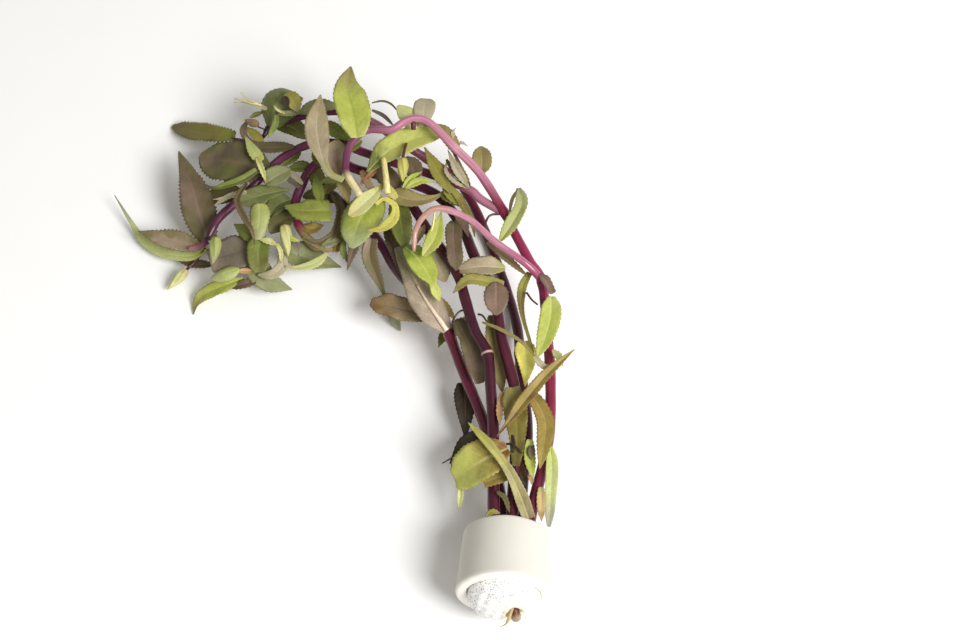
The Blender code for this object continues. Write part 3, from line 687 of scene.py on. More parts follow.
# Each finish is its record slot, then the tints in the order above, then where along the leaf the
# tip tint starts and how much of the leaf is stained.
FINISHES = {
    "lime": ("lime", (172, 180, 82), (178, 184, 96), (150, 150, 78), (198, 204, 124), (178, 186, 112),
        (148, 130, 66), (184, 190, 104), 0.7, 0.10),
    "lime_tan": ("lime", (174, 182, 84), (144, 130, 86), (136, 132, 78), (150, 164, 72), (178, 184, 110),
        (148, 134, 78), (186, 190, 104), 0.5, 0.05),
    "lime_stained": ("lime", (184, 188, 94), (188, 190, 96), (150, 146, 76), (200, 198, 124),
        (180, 184, 106), (140, 108, 54), (122, 80, 36), 1.25, 0.26),
    "lime_pale": ("lime", (200, 206, 136), (208, 206, 136), (180, 174, 100), (220, 224, 172),
        (200, 206, 138), (184, 166, 98), (196, 176, 130), 0.6, 0.12),
    "lime_deep": ("lime", (184, 188, 98), (168, 172, 98), (164, 170, 108), (192, 198, 122), (164, 168, 106),
        (128, 140, 62), (98, 106, 46), 0.8, 0.10),
    "lime_grey_tip": ("lime", (152, 162, 64), (156, 164, 122), (146, 154, 106), (182, 190, 104),
        (158, 164, 106), (126, 140, 60), (168, 176, 80), 0.45, 0.20),
    "lime_to_grey": ("lime", (190, 198, 128), (152, 150, 130), (144, 148, 100), (200, 204, 142),
        (164, 164, 130), (136, 130, 90), (196, 208, 104), 0.5, 0.06),
    "lime_fresh": ("lime", (170, 180, 76), (200, 200, 116), (150, 160, 74), (194, 200, 114),
        (174, 180, 104), (150, 162, 58), (98, 122, 44), 0.62, 0.12),
    "lime_yellow": ("lime", (184, 180, 90), (180, 174, 86), (160, 142, 80), (200, 194, 118),
        (180, 174, 104), (160, 140, 68), (178, 170, 92), 0.6, 0.16),
    # Painted light: a lime much paler than these leaves' own colour, to light leaves that lie in the scene's
    # shade.
    "lime_painted_light": ("lime", (226, 220, 108), (200, 180, 96), (176, 152, 80), (236, 228, 140),
        (206, 200, 112), (180, 160, 76), (214, 204, 104), 0.7, 0.10),
    "green": ("green", (128, 144, 68), (160, 166, 86), (124, 130, 64), (158, 170, 94), (146, 154, 100),
        (128, 122, 58), (112, 120, 54), 0.5, 0.14),
    "green_hood": ("green", (112, 119, 64), (120, 122, 78), (88, 92, 46), (144, 152, 112), (118, 118, 76),
        (100, 102, 50), (98, 106, 50), 0.6, 0.24),
    "green_dark": ("green", (112, 122, 52), (112, 118, 60), (86, 86, 44), (134, 142, 76), (118, 118, 76),
        (92, 88, 42), (110, 118, 54), 0.6, 0.22),
    "grey_green": ("grey", (132, 136, 92), (140, 142, 98), (110, 108, 70), (156, 158, 116), (150, 152, 112),
        (108, 104, 62), (116, 120, 66), 0.5, 0.22),
    "grey_pale": ("grey", (146, 150, 106), (116, 102, 74), (118, 110, 80), (170, 174, 134), (154, 154, 118),
        (120, 104, 76), (152, 160, 104), 0.75, 0.10),
    "grey_rose": ("grey", (116, 106, 92), (146, 134, 112), (100, 92, 76), (100, 86, 82), (140, 128, 114),
        (98, 96, 62), (104, 96, 76), 0.6, 0.24),
    "olive": ("olive", (106, 102, 46), (92, 80, 50), (74, 62, 40), (124, 120, 62), (120, 112, 70),
        (80, 64, 38), (122, 118, 52), 0.55, 0.22),
    "olive_light": ("olive", (142, 136, 62), (146, 134, 82), (106, 96, 52), (160, 154, 86), (148, 140, 92),
        (108, 92, 48), (140, 138, 66), 0.6, 0.28),
    "moss": ("olive", (128, 138, 58), (128, 132, 60), (98, 100, 46), (148, 156, 80), (136, 138, 80),
        (106, 106, 44), (138, 146, 62), 0.6, 0.20),
    "olive_bright": ("olive", (124, 116, 52), (112, 96, 64), (60, 50, 32), (130, 126, 68), (120, 112, 66),
        (90, 82, 42), (136, 142, 58), 0.55, 0.24),
    # Painted shade: the darker tip tint stands for the shade over this leaf's lower end.
    "olive_shaded_tip": ("olive", (118, 106, 44), (90, 82, 38), (90, 78, 40), (138, 128, 66), (124, 116, 66),
        (80, 68, 36), (134, 126, 74), 0.6, 0.26),
    "tan": ("tan", (164, 150, 120), (154, 138, 100), (136, 122, 86), (196, 182, 154), (166, 152, 122),
        (140, 120, 88), (156, 158, 94), 0.6, 0.16),
    "khaki": ("tan", (148, 134, 84), (146, 132, 84), (116, 98, 62), (170, 156, 110), (148, 136, 94),
        (116, 98, 58), (138, 124, 76), 0.6, 0.24),
    "mauve_tan": ("tan", (166, 150, 129), (134, 134, 102), (140, 124, 98), (218, 206, 184), (160, 148, 126),
        (144, 126, 106), (170, 152, 132), 0.5, 0.10),
    "tan_lime": ("lime", (156, 148, 100), (188, 190, 88), (136, 118, 74), (190, 180, 124), (160, 150, 104),
        (128, 108, 66), (152, 138, 106), 0.34, 0.16),
    "gold": ("tan", (190, 164, 110), (198, 170, 118), (140, 110, 68), (218, 196, 146), (184, 160, 112),
        (150, 122, 76), (168, 158, 100), 0.6, 0.20),
    "tan_brown": ("tan", (148, 130, 100), (140, 116, 72), (110, 86, 56), (124, 100, 78), (152, 134, 104),
        (120, 94, 58), (132, 112, 82), 0.5, 0.28),
    "tan_pale": ("tan", (178, 168, 140), (170, 160, 124), (150, 138, 104), (200, 190, 166), (172, 160, 134),
        (150, 134, 100), (168, 164, 116), 0.6, 0.14),
    "lime_grey": ("lime", (162, 168, 100), (160, 160, 118), (134, 132, 78), (182, 186, 128),
        (164, 168, 116), (130, 116, 70), (168, 172, 86), 0.5, 0.16),
    "ochre": ("tan", (146, 127, 62), (154, 136, 70), (116, 72, 46), (172, 152, 92), (152, 136, 80),
        (112, 82, 46), (118, 90, 54), 0.6, 0.26),
    "orange": ("tan", (190, 152, 106), (202, 176, 130), (136, 92, 58), (206, 178, 134), (184, 148, 100),
        (140, 84, 50), (160, 112, 70), 0.6, 0.30),
    "brown": ("brown", (100, 86, 58), (138, 124, 92), (84, 74, 48), (116, 96, 80), (120, 106, 82),
        (92, 88, 42), (84, 78, 42), 0.55, 0.42),
    "rose_tan": ("brown", (162, 146, 120), (164, 150, 118), (120, 104, 74), (172, 134, 130),
        (148, 132, 112), (120, 110, 70), (116, 106, 66), 0.6, 0.30),
    "mauve_brown": ("brown", (126, 103, 89), (118, 96, 78), (100, 80, 60), (152, 128, 106), (124, 104, 88),
        (110, 90, 62), (110, 90, 72), 0.6, 0.20),
    "brown_green": ("brown", (128, 106, 82), (134, 144, 106), (96, 84, 56), (112, 84, 70), (128, 116, 90),
        (110, 112, 66), (132, 112, 84), 0.6, 0.36),
    "umber": ("brown", (92, 82, 58), (122, 106, 84), (58, 50, 34), (112, 92, 78), (100, 90, 68),
        (96, 98, 46), (64, 58, 38), 0.55, 0.40),
    "brown_rose": ("brown", (112, 94, 76), (124, 110, 86), (88, 74, 54), (128, 100, 92), (122, 106, 90),
        (96, 88, 54), (88, 80, 52), 0.6, 0.36),
    "dark": ("dark", (62, 51, 34), (52, 42, 28), (46, 36, 24), (92, 78, 58), (72, 60, 42), (44, 34, 24),
        (66, 58, 36), 0.5, 0.30),
    "cream": ("cream", (202, 202, 138), (194, 184, 118), (180, 168, 102), (220, 218, 168), (204, 202, 144),
        (178, 160, 96), (194, 188, 98), 0.6, 0.14),
}


def leaf_material(finish):
    made, tree, shader = new_material("leaf " + finish.replace("_", " "), 0.45)
    *tints, tip_start, stain_share = FINISHES[finish][1:]
    skin = add(tree, "Group", node_tree=LEAF_EFFECT)
    for label, tint in zip(LEAF_TINTS, tints):
        skin.inputs[label].default_value = paint(*tint)
    skin.inputs["Tip Start"].default_value = tip_start
    skin.inputs["Stain Share"].default_value = stain_share
    tree.links.new(skin.outputs["Colour"], shader.inputs["Base Color"])
    tree.links.new(skin.outputs["Roughness"], shader.inputs["Roughness"])
    shader.inputs["Specular IOR Level"].default_value = 0.35
    relief(tree, shader, skin.outputs["Height"], 0.15, 0.45)
    return made


LEAF_SKINS = {finish: leaf_material(finish) for finish in FINISHES}


def blade(name, finish, width, route, form=PLAIN, fold=14, cup=0.0, wave=0.05, right=1.0, teeth=0.22):
    """One leaf: a toothed blade bent along its route from foot to tip, with both faces and an edge.

    form gives its shares of the width from foot to tip. fold lifts both halves by degrees, cup
    curls them, wave ripples the margins, right narrows one half and teeth are in millimetres.
    """
    dice = random.Random(name + "_piece")
    length = smooth_line(route, 2)[1]
    tooth_count = max(6, round(length / TOOTH_PITCH))
    rows = len(TOOTH_SHAPE) * tooth_count
    line = smooth_line(route, rows + 1)[0]
    side, up = carried_frame(line)
    along = np.linspace(0, 1, rows + 1)
    outline = smooth_line([(3.0 * i, share, 0) for i, share in enumerate(form)], 400)[0]
    outline = np.interp(along * outline[-1, 0], outline[:, 0], outline[:, 1])
    half = width / 2 * np.maximum(outline, NARROWEST)
    saw = np.tile(TOOTH_SHAPE, tooth_count + 1)[:rows + 1] * teeth * np.clip(outline * 2 - 0.4, 0, 1)
    across = np.linspace(-1, 1, BLADE_COLUMNS + 1)
    phases = [dice.uniform(0, 6.28) for _ in range(4)]
    lengthwise = along * length
    surface = np.zeros((rows + 1, BLADE_COLUMNS + 1, 3))
    for j, share in enumerate(across):
        edge = abs(share)
        reach = half * share * (right if share > 0 else 1.0)
        if edge > 0.99:
            reach = reach + share * saw
        lift = half * edge * math.tan(math.radians(fold)) + cup * half * share * share
        margin = 0 if share < 0 else 1
        ripple = np.sin(lengthwise * RIPPLE_PACE + phases[margin])
        ripple = ripple + SMALL_RIPPLE * np.sin(lengthwise * (2 * RIPPLE_PACE) + phases[2 + margin])
        lift = lift + wave * width * 0.5 * edge ** 2 * ripple * np.minimum(1, outline * 1.5)
        vein_phase = 2 * np.pi * (VEIN_PAIRS * along - VEIN_SLANT * edge)
        quilt = -QUILT_DEPTH * np.cos(vein_phase) * edge * (1 - edge) * 2
        ridge = -RIB_HEIGHT * math.exp(-(edge / RIB_SHARE) ** 2) * (1.3 - along)
        surface[:, j] = line + side * reach[:, None] + up * (lift + quilt + ridge)[:, None]
    normal = np.cross(np.gradient(surface, axis=1), np.gradient(surface, axis=0))
    normal /= np.maximum(np.linalg.norm(normal, axis=2), 1e-9)[:, :, None]
    body = BLADE_THICKNESS / 2 * (MARGIN_SHARE + (1 - MARGIN_SHARE) * (1 - across ** 4))
    body += RIB_THICKNESS * np.exp(-(across / RIB_SHARE) ** 2)
    offset = normal * body[None, :, None]
    points = np.concatenate([(surface + offset * UPPER_SHARE).reshape(-1, 3),
                             (surface - offset).reshape(-1, 3)])
    marks = [(share, t, face) for face in (1.0, 0.0) for t in along for share in across]
    wide = BLADE_COLUMNS + 1
    count = (rows + 1) * wide
    faces = []
    for i in range(rows):
        for j in range(BLADE_COLUMNS):
            a = i * wide + j
            faces.append((a, a + 1, a + wide + 1, a + wide))
            faces.append((count + a, count + a + wide, count + a + wide + 1, count + a + 1))
    border = list(range(BLADE_COLUMNS)) + [i * wide + BLADE_COLUMNS for i in range(rows)]
    border += [rows * wide + j for j in range(BLADE_COLUMNS, 0, -1)] + [i * wide for i in range(rows, 0, -1)]
    for here, there in zip(border, border[1:] + border[:1]):
        faces.append((there, here, count + here, count + there))
    piece_from(name, points.tolist(), faces, LEAF_SKINS[finish], {"blade": marks})


# Leaves of the first stem
# It lies lowest, so its leaves are shaded and the oldest: dark, tan and brown. They grow from its
# nodes, and the slips are torn or half-hidden leaves of the same growth.
blade("leaf_1a", "dark", 7, ((-5, 58, 9.5), (-12, 53, 9.5), (-17, 48, 8)))
blade("leaf_1b", "dark", 7, ((-12.5, 76, 10), (-12, 67, 8.5), (-12, 57, 6)), BROAD_FOOT)
blade("leaf_1c", "tan_brown", 8.5, ((-22, 98, 14), (-28, 100, 13.5), (-35, 102, 13), (-43.5, 105, 12)),
      (0.3, 0.75, 0.95, 1.0, 1.0, 0.98, 0.86, 0.3), wave=0.12)
blade("leaf_1d", "mauve_tan", 10.5, ((-18, 91.5, 17.2), (-23.8, 99, 19.5), (-29, 110, 19),
       (-35, 122.5, 18)), (0.3, 0.8, 0.98, 1.0, 0.82, 0.6, 0.45, 0.2), cup=-0.2)
blade("leaf_1e", "brown_green", 5.2, ((-43.5, 126.5, 17), (-44, 121, 14), (-41, 114, 10), (-38, 107.5, 6),
       (-34, 100, 1)), (0.8, 1.0, 0.92, 0.62, 0.26, 0.35, 0.7, 0.1), fold=28)
blade("leaf_1f", "moss", 8.8, ((-57.5, 136, 19), (-62, 135.5, 20), (-67, 135.5, 20), (-73, 138, 19)),
      (0.95, 1.0, 1.0, 0.98, 0.9, 0.7, 0.35, 0.04), teeth=0.4, cup=-0.2)
blade("leaf_1g", "brown_rose", 3, ((-58, 147, 12.5), (-56, 142, 17.5), (-54, 136, 18.5), (-56, 129, 16.5),
       (-61, 126, 15.5), (-66, 127.5, 15.5)), STRAP, fold=30)
blade("slip_1h", "green_dark", 3, ((-18, 95.5, 11), (-19.5, 92.5, 10.5), (-21, 89, 10)))
blade("slip_1i", "ochre", 3, ((-23, 103, 19), (-19.5, 100.5, 18.5), (-15.5, 95.5, 17.5)), STRAP)
blade("slip_1j", "mauve_brown", 4.5, ((-16.5, 92, 16), (-14, 93.5, 17), (-10, 95, 17.5)), CUT, wave=0.12)
blade("slip_1k", "green_dark", 2.2, ((-52, 126, 18), (-53, 122.5, 16), (-50.5, 117, 15)))
blade("slip_1l", "brown_rose", 3.4, ((-48.5, 125.5, 18), (-50, 120, 17), (-51.5, 115.5, 15)), BROAD_FOOT)
blade("slip_1m", "olive_light", 5, ((-54.5, 132.5, 16), (-53.5, 128, 15), (-56.5, 124, 13)), wave=0.12)
blade("slip_1n", "orange", 2.4, ((-52.5, 125.5, 13), (-55.5, 124.5, 13), (-59.5, 124.5, 12.5)))
blade("slip_1o", "grey_green", 3.4, ((-54, 126.5, 16), (-57.5, 125.5, 16), (-60.5, 124.5, 15.5)))

# Leaves of the second stem
# Its top pair is young and lime; lower down they are long, folded and brown at the foot. Near
# the ring they are down to torn scraps and rolled strips, loosely caught between the stems.
blade("leaf_2a", "lime_stained", 13.5, ((1.5, 46, 24), (-6.5, 42.2, 23), (-15.2, 39, 15.8)),
      (0.3, 0.7, 0.92, 1.0, 1.0, 0.95, 0.84, 0.5), teeth=0.34)
blade("leaf_2b", "ochre", 4, ((-2, 50, 24), (3, 56, 26), (9, 64.5, 26), (15, 72, 26), (23, 80, 26)),
      (0.1, 0.4, 0.9, 1.0, 0.95, 0.8, 0.5, 0.05), fold=30)
blade("leaf_2c", "brown_rose", 7.6, ((-15, 94, 19.5), (-11, 85.5, 19), (-7.5, 72, 17.5)),
      (0.5, 0.85, 0.8, 1.0, 1.0, 0.98, 0.85, 0.4), wave=0.14, right=0.75)
blade("leaf_2d", "brown_rose", 5.6, ((-16, 127, 27.5), (-15.8, 118, 28.5), (-15, 108, 28)),
      (0.35, 0.9, 1.0, 0.95, 0.9, 0.95, 0.8, 0.1), wave=0.1)
blade("leaf_2e", "lime_fresh", 8, ((-32, 119, 24.5), (-28, 114.5, 25), (-23.5, 107, 24.5),
       (-20.5, 99.5, 22.5)), (0.3, 0.75, 0.98, 1.0, 0.85, 0.34, 0.42, 0.05))
blade("leaf_2f", "green_dark", 7.5, ((-35, 137, 24.5), (-33.5, 128, 24), (-32, 119, 22)), STRAP)
blade("leaf_2g", "khaki", 7, ((-37, 139, 25.5), (-30, 136, 26), (-23, 137, 25.5), (-17.5, 140.5, 26)),
      (0.4, 1.0, 0.95, 0.75, 0.52, 0.3, 0.14, 0.05))
blade("leaf_2h", "lime_grey_tip", 13, ((-40, 138, 25), (-47, 130, 24), (-50, 121, 20)), ROUND, cup=-0.3)
blade("leaf_2i", "lime_painted_light", 4.6, ((-42, 134, 26.5), (-39, 135.5, 27.5), (-35.5, 132.5, 28),
       (-36, 127.5, 28), (-39.5, 124, 28), (-44.5, 123.5, 27.5)),
      (0.3, 0.32, 0.4, 0.6, 0.95, 1.0, 0.55, 0.1), fold=5, teeth=0.12)
blade("leaf_2j", "cream", 6, ((-39.5, 141.5, 26.8), (-44.5, 135, 27.8), (-50.5, 129, 27.2)),
      (0.2, 0.4, 0.75, 0.95, 1.0, 1.0, 0.8, 0.3), teeth=0.12)
blade("slip_2k", "tan", 7.4, ((-23, 118, 23.2), (-21, 112.7, 23), (-18.6, 106.8, 22.6)), ROUND)
blade("slip_2l", "lime_pale", 1.9, ((-13.5, 37, 15), (-13.5, 34.5, 13), (-14, 31, 11)), STRAP, fold=40)
blade("slip_2m", "ochre", 4.4, ((2.5, 38.5, 21.5), (-1.5, 37, 21.5), (-6, 35.5, 20.5)), CUT, wave=0.1)
blade("slip_2n", "orange", 2.2, ((0, 66.5, 22.5), (-1, 61, 22.5), (-1, 55, 22)), STRAP)
blade("slip_2o", "brown", 1.7, ((-2, 32.5, 21), (0.5, 30.5, 20.5), (2, 26, 19)), STRAP)
blade("slip_2p", "olive_light", 1.8, ((-5.5, 22, 25), (-3.5, 23.5, 26), (-1, 23, 26)), STRAP)
blade("slip_2q", "green_dark", 6, ((-35.5, 136, 21), (-34, 128.5, 20), (-32.5, 120.5, 18.5)))
blade("slip_2r", "brown_rose", 5.4, ((-38.5, 129.5, 17), (-34, 119.5, 16.5), (-28, 105, 15.5)), STRAP)
blade("slip_2s", "lime_pale", 3, ((-41, 138, 25), (-45.5, 138.5, 25.5), (-49.5, 137, 25)))
blade("slip_2t", "lime_yellow", 3, ((-35, 136.5, 26), (-37, 138.5, 27), (-38.5, 141.5, 27.5)), STRAP)

# Leaves of the third stem
# They run from the olive blade near the ring to the grey-green pair at the hooked tip. Thin pale
# slips curl around that tip, where its small top leaves have dried.
blade("leaf_3a", "olive_shaded_tip", 7.6, ((3, 68, 23), (4, 60, 22.5), (4.5, 50, 22), (4, 41, 21.5)),
      (0.6, 0.95, 1.0, 0.95, 0.8, 0.62, 0.5, 0.3), wave=0.1)
blade("leaf_3b", "khaki", 6.5, ((-3, 96, 19.5), (-2, 84, 19), (0, 69, 17)), STRAP, wave=0.1)
blade("leaf_3c", "mauve_brown", 8, ((-2, 104, 27.5), (-2, 98, 27), (-2, 92.5, 26)), ROUND, fold=8)
blade("leaf_3d", "tan", 7, ((1, 110, 26), (-7, 110, 27), (-15, 109, 26)), ROUND, wave=0.1)
blade("leaf_3e", "grey_pale", 9.8, ((-72, 126.5, 8.5), (-64, 123.5, 8), (-54, 121, 7)), BROAD_FOOT,
      teeth=0.3)
blade("leaf_3f", "grey_green", 8.6, ((-84, 128, 12), (-82.5, 120, 9.5), (-78, 115.5, 7), (-70.5, 113.5, 5)),
      (0.4, 0.7, 0.9, 1.0, 0.95, 0.75, 0.4, 0.04), fold=8)
blade("slip_3g", "olive_light", 4.2, ((0.5, 103.5, 26.5), (-4.5, 104.2, 27), (-11, 104.5, 28),
       (-16, 100.5, 26.5)), (0.6, 0.85, 0.95, 1.0, 0.95, 0.8, 0.5, 0.1))
blade("slip_3h", "green_dark", 7.6, ((-80.5, 129, 14.5), (-81.5, 123, 14), (-81, 116, 12.5)),
      (0.35, 0.75, 1.0, 1.0, 0.95, 0.9, 0.8, 0.5), fold=16)
blade("slip_3i", "lime_pale", 3.4, ((-72.5, 118.5, 12), (-67.5, 117.8, 12.5), (-62, 119.5, 13),
       (-58, 123.5, 13)), (0.2, 0.35, 0.6, 0.85, 1.0, 0.95, 0.6, 0.1), fold=5)
blade("slip_3j", "tan_pale", 4, ((-74, 123.5, 12), (-73.5, 119, 11.5), (-77, 116, 11), (-82, 116.5, 10)),
      STRAP, fold=4)
blade("slip_3k", "khaki", 2.6, ((-67, 128.5, 14), (-63, 126.5, 14), (-58, 123, 13.5)), STRAP)
blade("slip_3l", "green_hood", 7, ((-71.5, 143.5, 14), (-76, 141.5, 13.5), (-79, 137, 13)), ROUND)
blade("slip_3m", "umber", 7.4, ((-70, 137.5, 13), (-74.5, 135.5, 13), (-78, 131, 12.5)), ROUND)
blade("slip_3n", "cream", 2.4, ((-75.5, 125.5, 15), (-79, 126.5, 15.5), (-82, 127.5, 15)))
blade("slip_3o", "cream", 1.6, ((-75.5, 126, 14.5), (-74, 123, 14), (-74, 119.5, 13)), STRAP)
blade("slip_3p", "grey_rose", 2.6, ((-70.5, 127.5, 15), (-68.5, 125, 14.5), (-68, 122, 13.5)))
blade("slip_3q", "lime", 1.8, ((-72, 128, 15.5), (-70, 127, 15.5), (-67.5, 126.5, 15)))
blade("slip_3r", "dark", 3.2, ((4.5, 45, 18), (5.5, 40.5, 18), (7.5, 36, 17)), STRAP, fold=30)
blade("slip_3s", "brown_rose", 2.4, ((9, 48.5, 20.5), (9, 46.5, 20.5), (9, 44, 20.3)), STRAP)
blade("slip_3t", "orange", 1.4, ((8, 39, 19), (9, 37.5, 19), (9, 36, 19)), STRAP)
blade("slip_3u", "olive", 5.5, ((-78, 139.5, 12), (-74, 138, 12), (-70.5, 140, 12)))

# Leaves of the fourth stem
# One broad leaf hoods the stem's tip, and others lie over the bend, folded narrow and striped.
# The narrow strips there are leaf margins that have rolled up and dried.
blade("leaf_4a", "tan_lime", 4.6, ((8, 24.5, 18), (5.2, 31.5, 21), (1.8, 37.5, 25.5), (-4, 45.5, 27),
       (-11, 55, 24)), (0.9, 1.0, 0.85, 0.7, 0.6, 0.62, 0.45, 0.06), fold=24, teeth=0.12)
blade("leaf_4b", "lime_painted_light", 6.8, ((6.8, 86, 20), (7.8, 78.5, 20), (7.2, 70, 19.5)), BROAD_FOOT)
blade("leaf_4c", "lime_grey", 4.6, ((-0.5, 119, 28.5), (3.5, 125, 30), (6.5, 131.5, 31), (5.5, 137.5, 31)),
      (0.3, 0.75, 1.0, 1.0, 0.95, 0.9, 0.75, 0.3), fold=24)
blade("leaf_4d", "olive_light", 5.2, ((-17, 137.5, 28), (-21, 145, 28.5), (-26, 155.5, 28)))
blade("leaf_4e", "tan_pale", 3, ((-11, 138.5, 30), (-15, 144.5, 31), (-18, 152.5, 31)), fold=30)
blade("leaf_4f", "green_hood", 12.6, ((-78.5, 168.5, 20), (-77.5, 172, 24), (-75.8, 176, 26),
       (-72.5, 178.8, 25.8), (-68, 178.8, 22.5)), (0.4, 0.8, 1.0, 1.0, 0.92, 0.78, 0.58, 0.12), fold=-16,
      cup=-0.5)
blade("leaf_4g", "brown_rose", 4.6, ((-70.5, 159.5, 22), (-77, 160.3, 20), (-83, 161.5, 18.5),
       (-87, 165, 18), (-88.5, 169.5, 17.5), (-86.5, 173.5, 17.5)),
      (0.3, 0.85, 1.0, 0.9, 0.6, 0.5, 0.5, 0.2), fold=12)
blade("leaf_4h", "olive_bright", 7.3, ((-92, 169.5, 12.5), (-99, 172, 10.5), (-107, 176, 6),
       (-115.5, 181.5, 0.8)), (0.55, 0.78, 0.92, 1.0, 1.0, 0.9, 0.66, 0.22), fold=6, teeth=0.6)
blade("slip_4i", "tan_pale", 1.5, ((-11.5, 139, 29), (-15.5, 140.5, 30), (-18.5, 144.5, 30),
       (-18.5, 149, 29.5)), STRAP)
blade("slip_4j", "grey_rose", 2.4, ((-10.5, 139.5, 29), (-13, 143.5, 29.5), (-15.5, 150, 29)), fold=35)
blade("slip_4k", "tan_pale", 1.1, ((-17.5, 139.5, 27), (-21.5, 147, 27.5), (-25.5, 156, 27)), STRAP)
blade("slip_4l", "khaki", 5, ((-15, 153.5, 28), (-18.5, 160, 28.5), (-22.5, 165, 28)), STRAP)
blade("slip_4m", "tan_pale", 1.3, ((-15.5, 158, 28.5), (-16.5, 160.5, 29), (-15.5, 162.5, 29)))
blade("slip_4n", "tan_pale", 1.1, ((-15, 156, 28), (-13.5, 157, 28.5), (-11.5, 156, 28)))
blade("slip_4o", "olive_light", 3.4, ((-13, 134, 26.5), (-18, 138, 27), (-20, 143, 27)), BROAD_FOOT)
blade("slip_4p", "grey_green", 5.4, ((-69, 173, 22), (-62.5, 175.5, 22.5), (-56, 175, 22.5)), ROUND)
blade("slip_4q", "green_dark", 7, ((-79, 174, 15), (-72.5, 172, 15), (-66, 167.5, 14)), STRAP)
blade("slip_4r", "green_dark", 5.4, ((-62, 167.5, 26), (-57, 163.5, 26), (-49.5, 158.5, 26)))
blade("slip_4s", "green", 2.2, ((-76.5, 170, 26), (-77, 167, 24), (-79.5, 163.8, 21)), STRAP, fold=4,
      teeth=0.1)
blade("slip_4t", "grey_pale", 2.4, ((-67, 171.5, 26), (-72, 170, 26.5), (-76, 170.5, 26)), CUT)
blade("slip_4u", "cream", 0.9, ((-73.5, 170, 26.5), (-76, 171, 27), (-77.5, 173, 27)), STRAP)
blade("slip_4v", "olive", 2, ((-86, 172, 21), (-84, 173, 21), (-81, 174.5, 21)))
blade("slip_4w", "olive_light", 3.4, ((-81, 162.5, 18), (-84.5, 167, 18), (-88.5, 171, 17)))
blade("slip_4x", "lime_grey", 4.2, ((-81.5, 155, 20), (-84.5, 159, 20.5), (-87.5, 165, 20.5)), BROAD_FOOT)
blade("slip_4y", "cream", 1.9, ((-83, 156, 20.5), (-81, 151, 21), (-79.5, 146.5, 20.5)), STRAP, fold=35)
blade("slip_4z", "tan_pale", 1.8, ((-80, 174, 23), (-85, 175.8, 23.6), (-90, 177.5, 22.5)), BROAD_FOOT)
blade("slip_4aa", "brown_rose", 1.2, ((2.5, 128.5, 31), (3.3, 132.5, 31.8), (5.2, 137, 31.6)), STRAP,
      teeth=0.05)
blade("slip_4ab", "olive_light", 5.2, ((-73.5, 177, 28.3), (-71, 174, 29), (-69, 169.8, 27.8)), ROUND)
# A small dark scrap laid in the hood of leaf_4f, as painted shade for its hollow.
blade("slip_4ac", "dark", 2.4, ((-73.8, 175, 29.5), (-73.2, 173, 29.8), (-72.2, 171, 29.4)), ROUND, fold=25)
blade("slip_4ad", "tan_brown", 1.2, ((-16.5, 153, 30), (-13.5, 146, 30.4), (-10.5, 140, 29.5)), STRAP,
      teeth=0.05)
blade("slip_4ae", "grey_rose", 1.6, ((-18.5, 150, 29), (-15, 143, 30), (-11, 139.5, 29.3)), STRAP,
      teeth=0.05)
blade("slip_4af", "olive", 5.4, ((-20.5, 139, 25.5), (-16.5, 137, 26), (-12, 134.5, 25)), ROUND)
blade("slip_4ag", "green_dark", 4, ((-68.5, 160.5, 17), (-72, 157.5, 17), (-75, 154, 17)))
blade("slip_4ah", "green_dark", 4.6, ((-64, 155, 16), (-68.5, 155, 16), (-73.5, 154, 16)))
blade("slip_4ai", "tan_pale", 2, ((-67.5, 148, 16.5), (-70.5, 151.5, 16.5), (-74, 155, 16)), STRAP,
      teeth=0.08)
blade("slip_4aj", "grey_rose", 2, ((-68.5, 147, 16), (-72, 150, 16), (-74.5, 153, 16)), STRAP, teeth=0.08)

# Leaves of the fifth stem
# The topmost stands upright and lime, with its dull tan partner beside it at the same node. The
# long narrow ones nearer the ring lie along the stem, withered to straps.
blade("leaf_5a", "lime_to_grey", 4, ((15, 49, 19.5), (15.5, 42, 19.5), (15, 32, 18.5), (14.3, 22.5, 16.5)),
      (0.3, 0.8, 1.0, 1.0, 0.9, 0.82, 0.7, 0.3), teeth=0.06)
blade("leaf_5b", "ochre", 5.6, ((5, 66.5, 22.4), (10, 64, 22.6), (13.5, 56, 22.5), (12.8, 47, 22.3),
       (11.5, 40, 21.5)), (0.3, 0.7, 0.9, 1.0, 1.0, 0.85, 0.55, 0.05))
blade("leaf_5c", "lime", 6.8, ((16, 99.5, 25.8), (15.6, 92.5, 25.6), (13.8, 85, 24.7), (11, 78, 23.5)),
      (0.35, 0.85, 1.0, 1.0, 0.92, 0.75, 0.45, 0.05))
blade("leaf_5d", "olive_light", 2.8, ((9, 110, 23), (6.5, 104, 22.5), (6.5, 95, 22.3), (10, 81, 22)),
      (0.7, 1.0, 1.0, 0.7, 0.5, 0.4, 0.35, 0.05), teeth=0.1)
blade("leaf_5e", "khaki", 6.6, ((-7.2, 147, 23.8), (-6.6, 152, 24), (-7, 159, 23)), ROUND, fold=18)
blade("leaf_5f", "lime_deep", 9.5, ((-45, 145.5, 28), (-38, 153, 29.5), (-28, 158, 30),
       (-19.5, 159.5, 29.5)), (0.1, 0.5, 0.9, 1.0, 1.0, 0.9, 0.62, 0.06))
blade("leaf_5g", "lime_tan", 11.5, ((-48, 154.5, 35.5), (-49.5, 164, 36), (-52, 174, 36.5), (-51, 182, 37)),
      (0.4, 0.8, 0.96, 1.0, 0.95, 0.72, 0.42, 0.05))
blade("leaf_5h", "rose_tan", 9.5, ((-54.5, 144, 28), (-56, 150, 27.5), (-55.5, 159, 27)), ROUND)
blade("leaf_5i", "tan", 8, ((-52.5, 139.5, 33), (-57, 142, 33), (-60, 149, 33.3), (-62, 160, 33.5),
       (-61, 172, 35)), (0.3, 0.3, 0.4, 0.8, 1.0, 0.95, 0.6, 0.04), fold=10)
blade("slip_5j", "lime_pale", 6.6, ((-28.5, 160.5, 32), (-32, 165.5, 33), (-35, 169.5, 32)),
      (0.5, 0.85, 1.0, 1.0, 0.92, 0.76, 0.5, 0.15), fold=6, teeth=0.1)
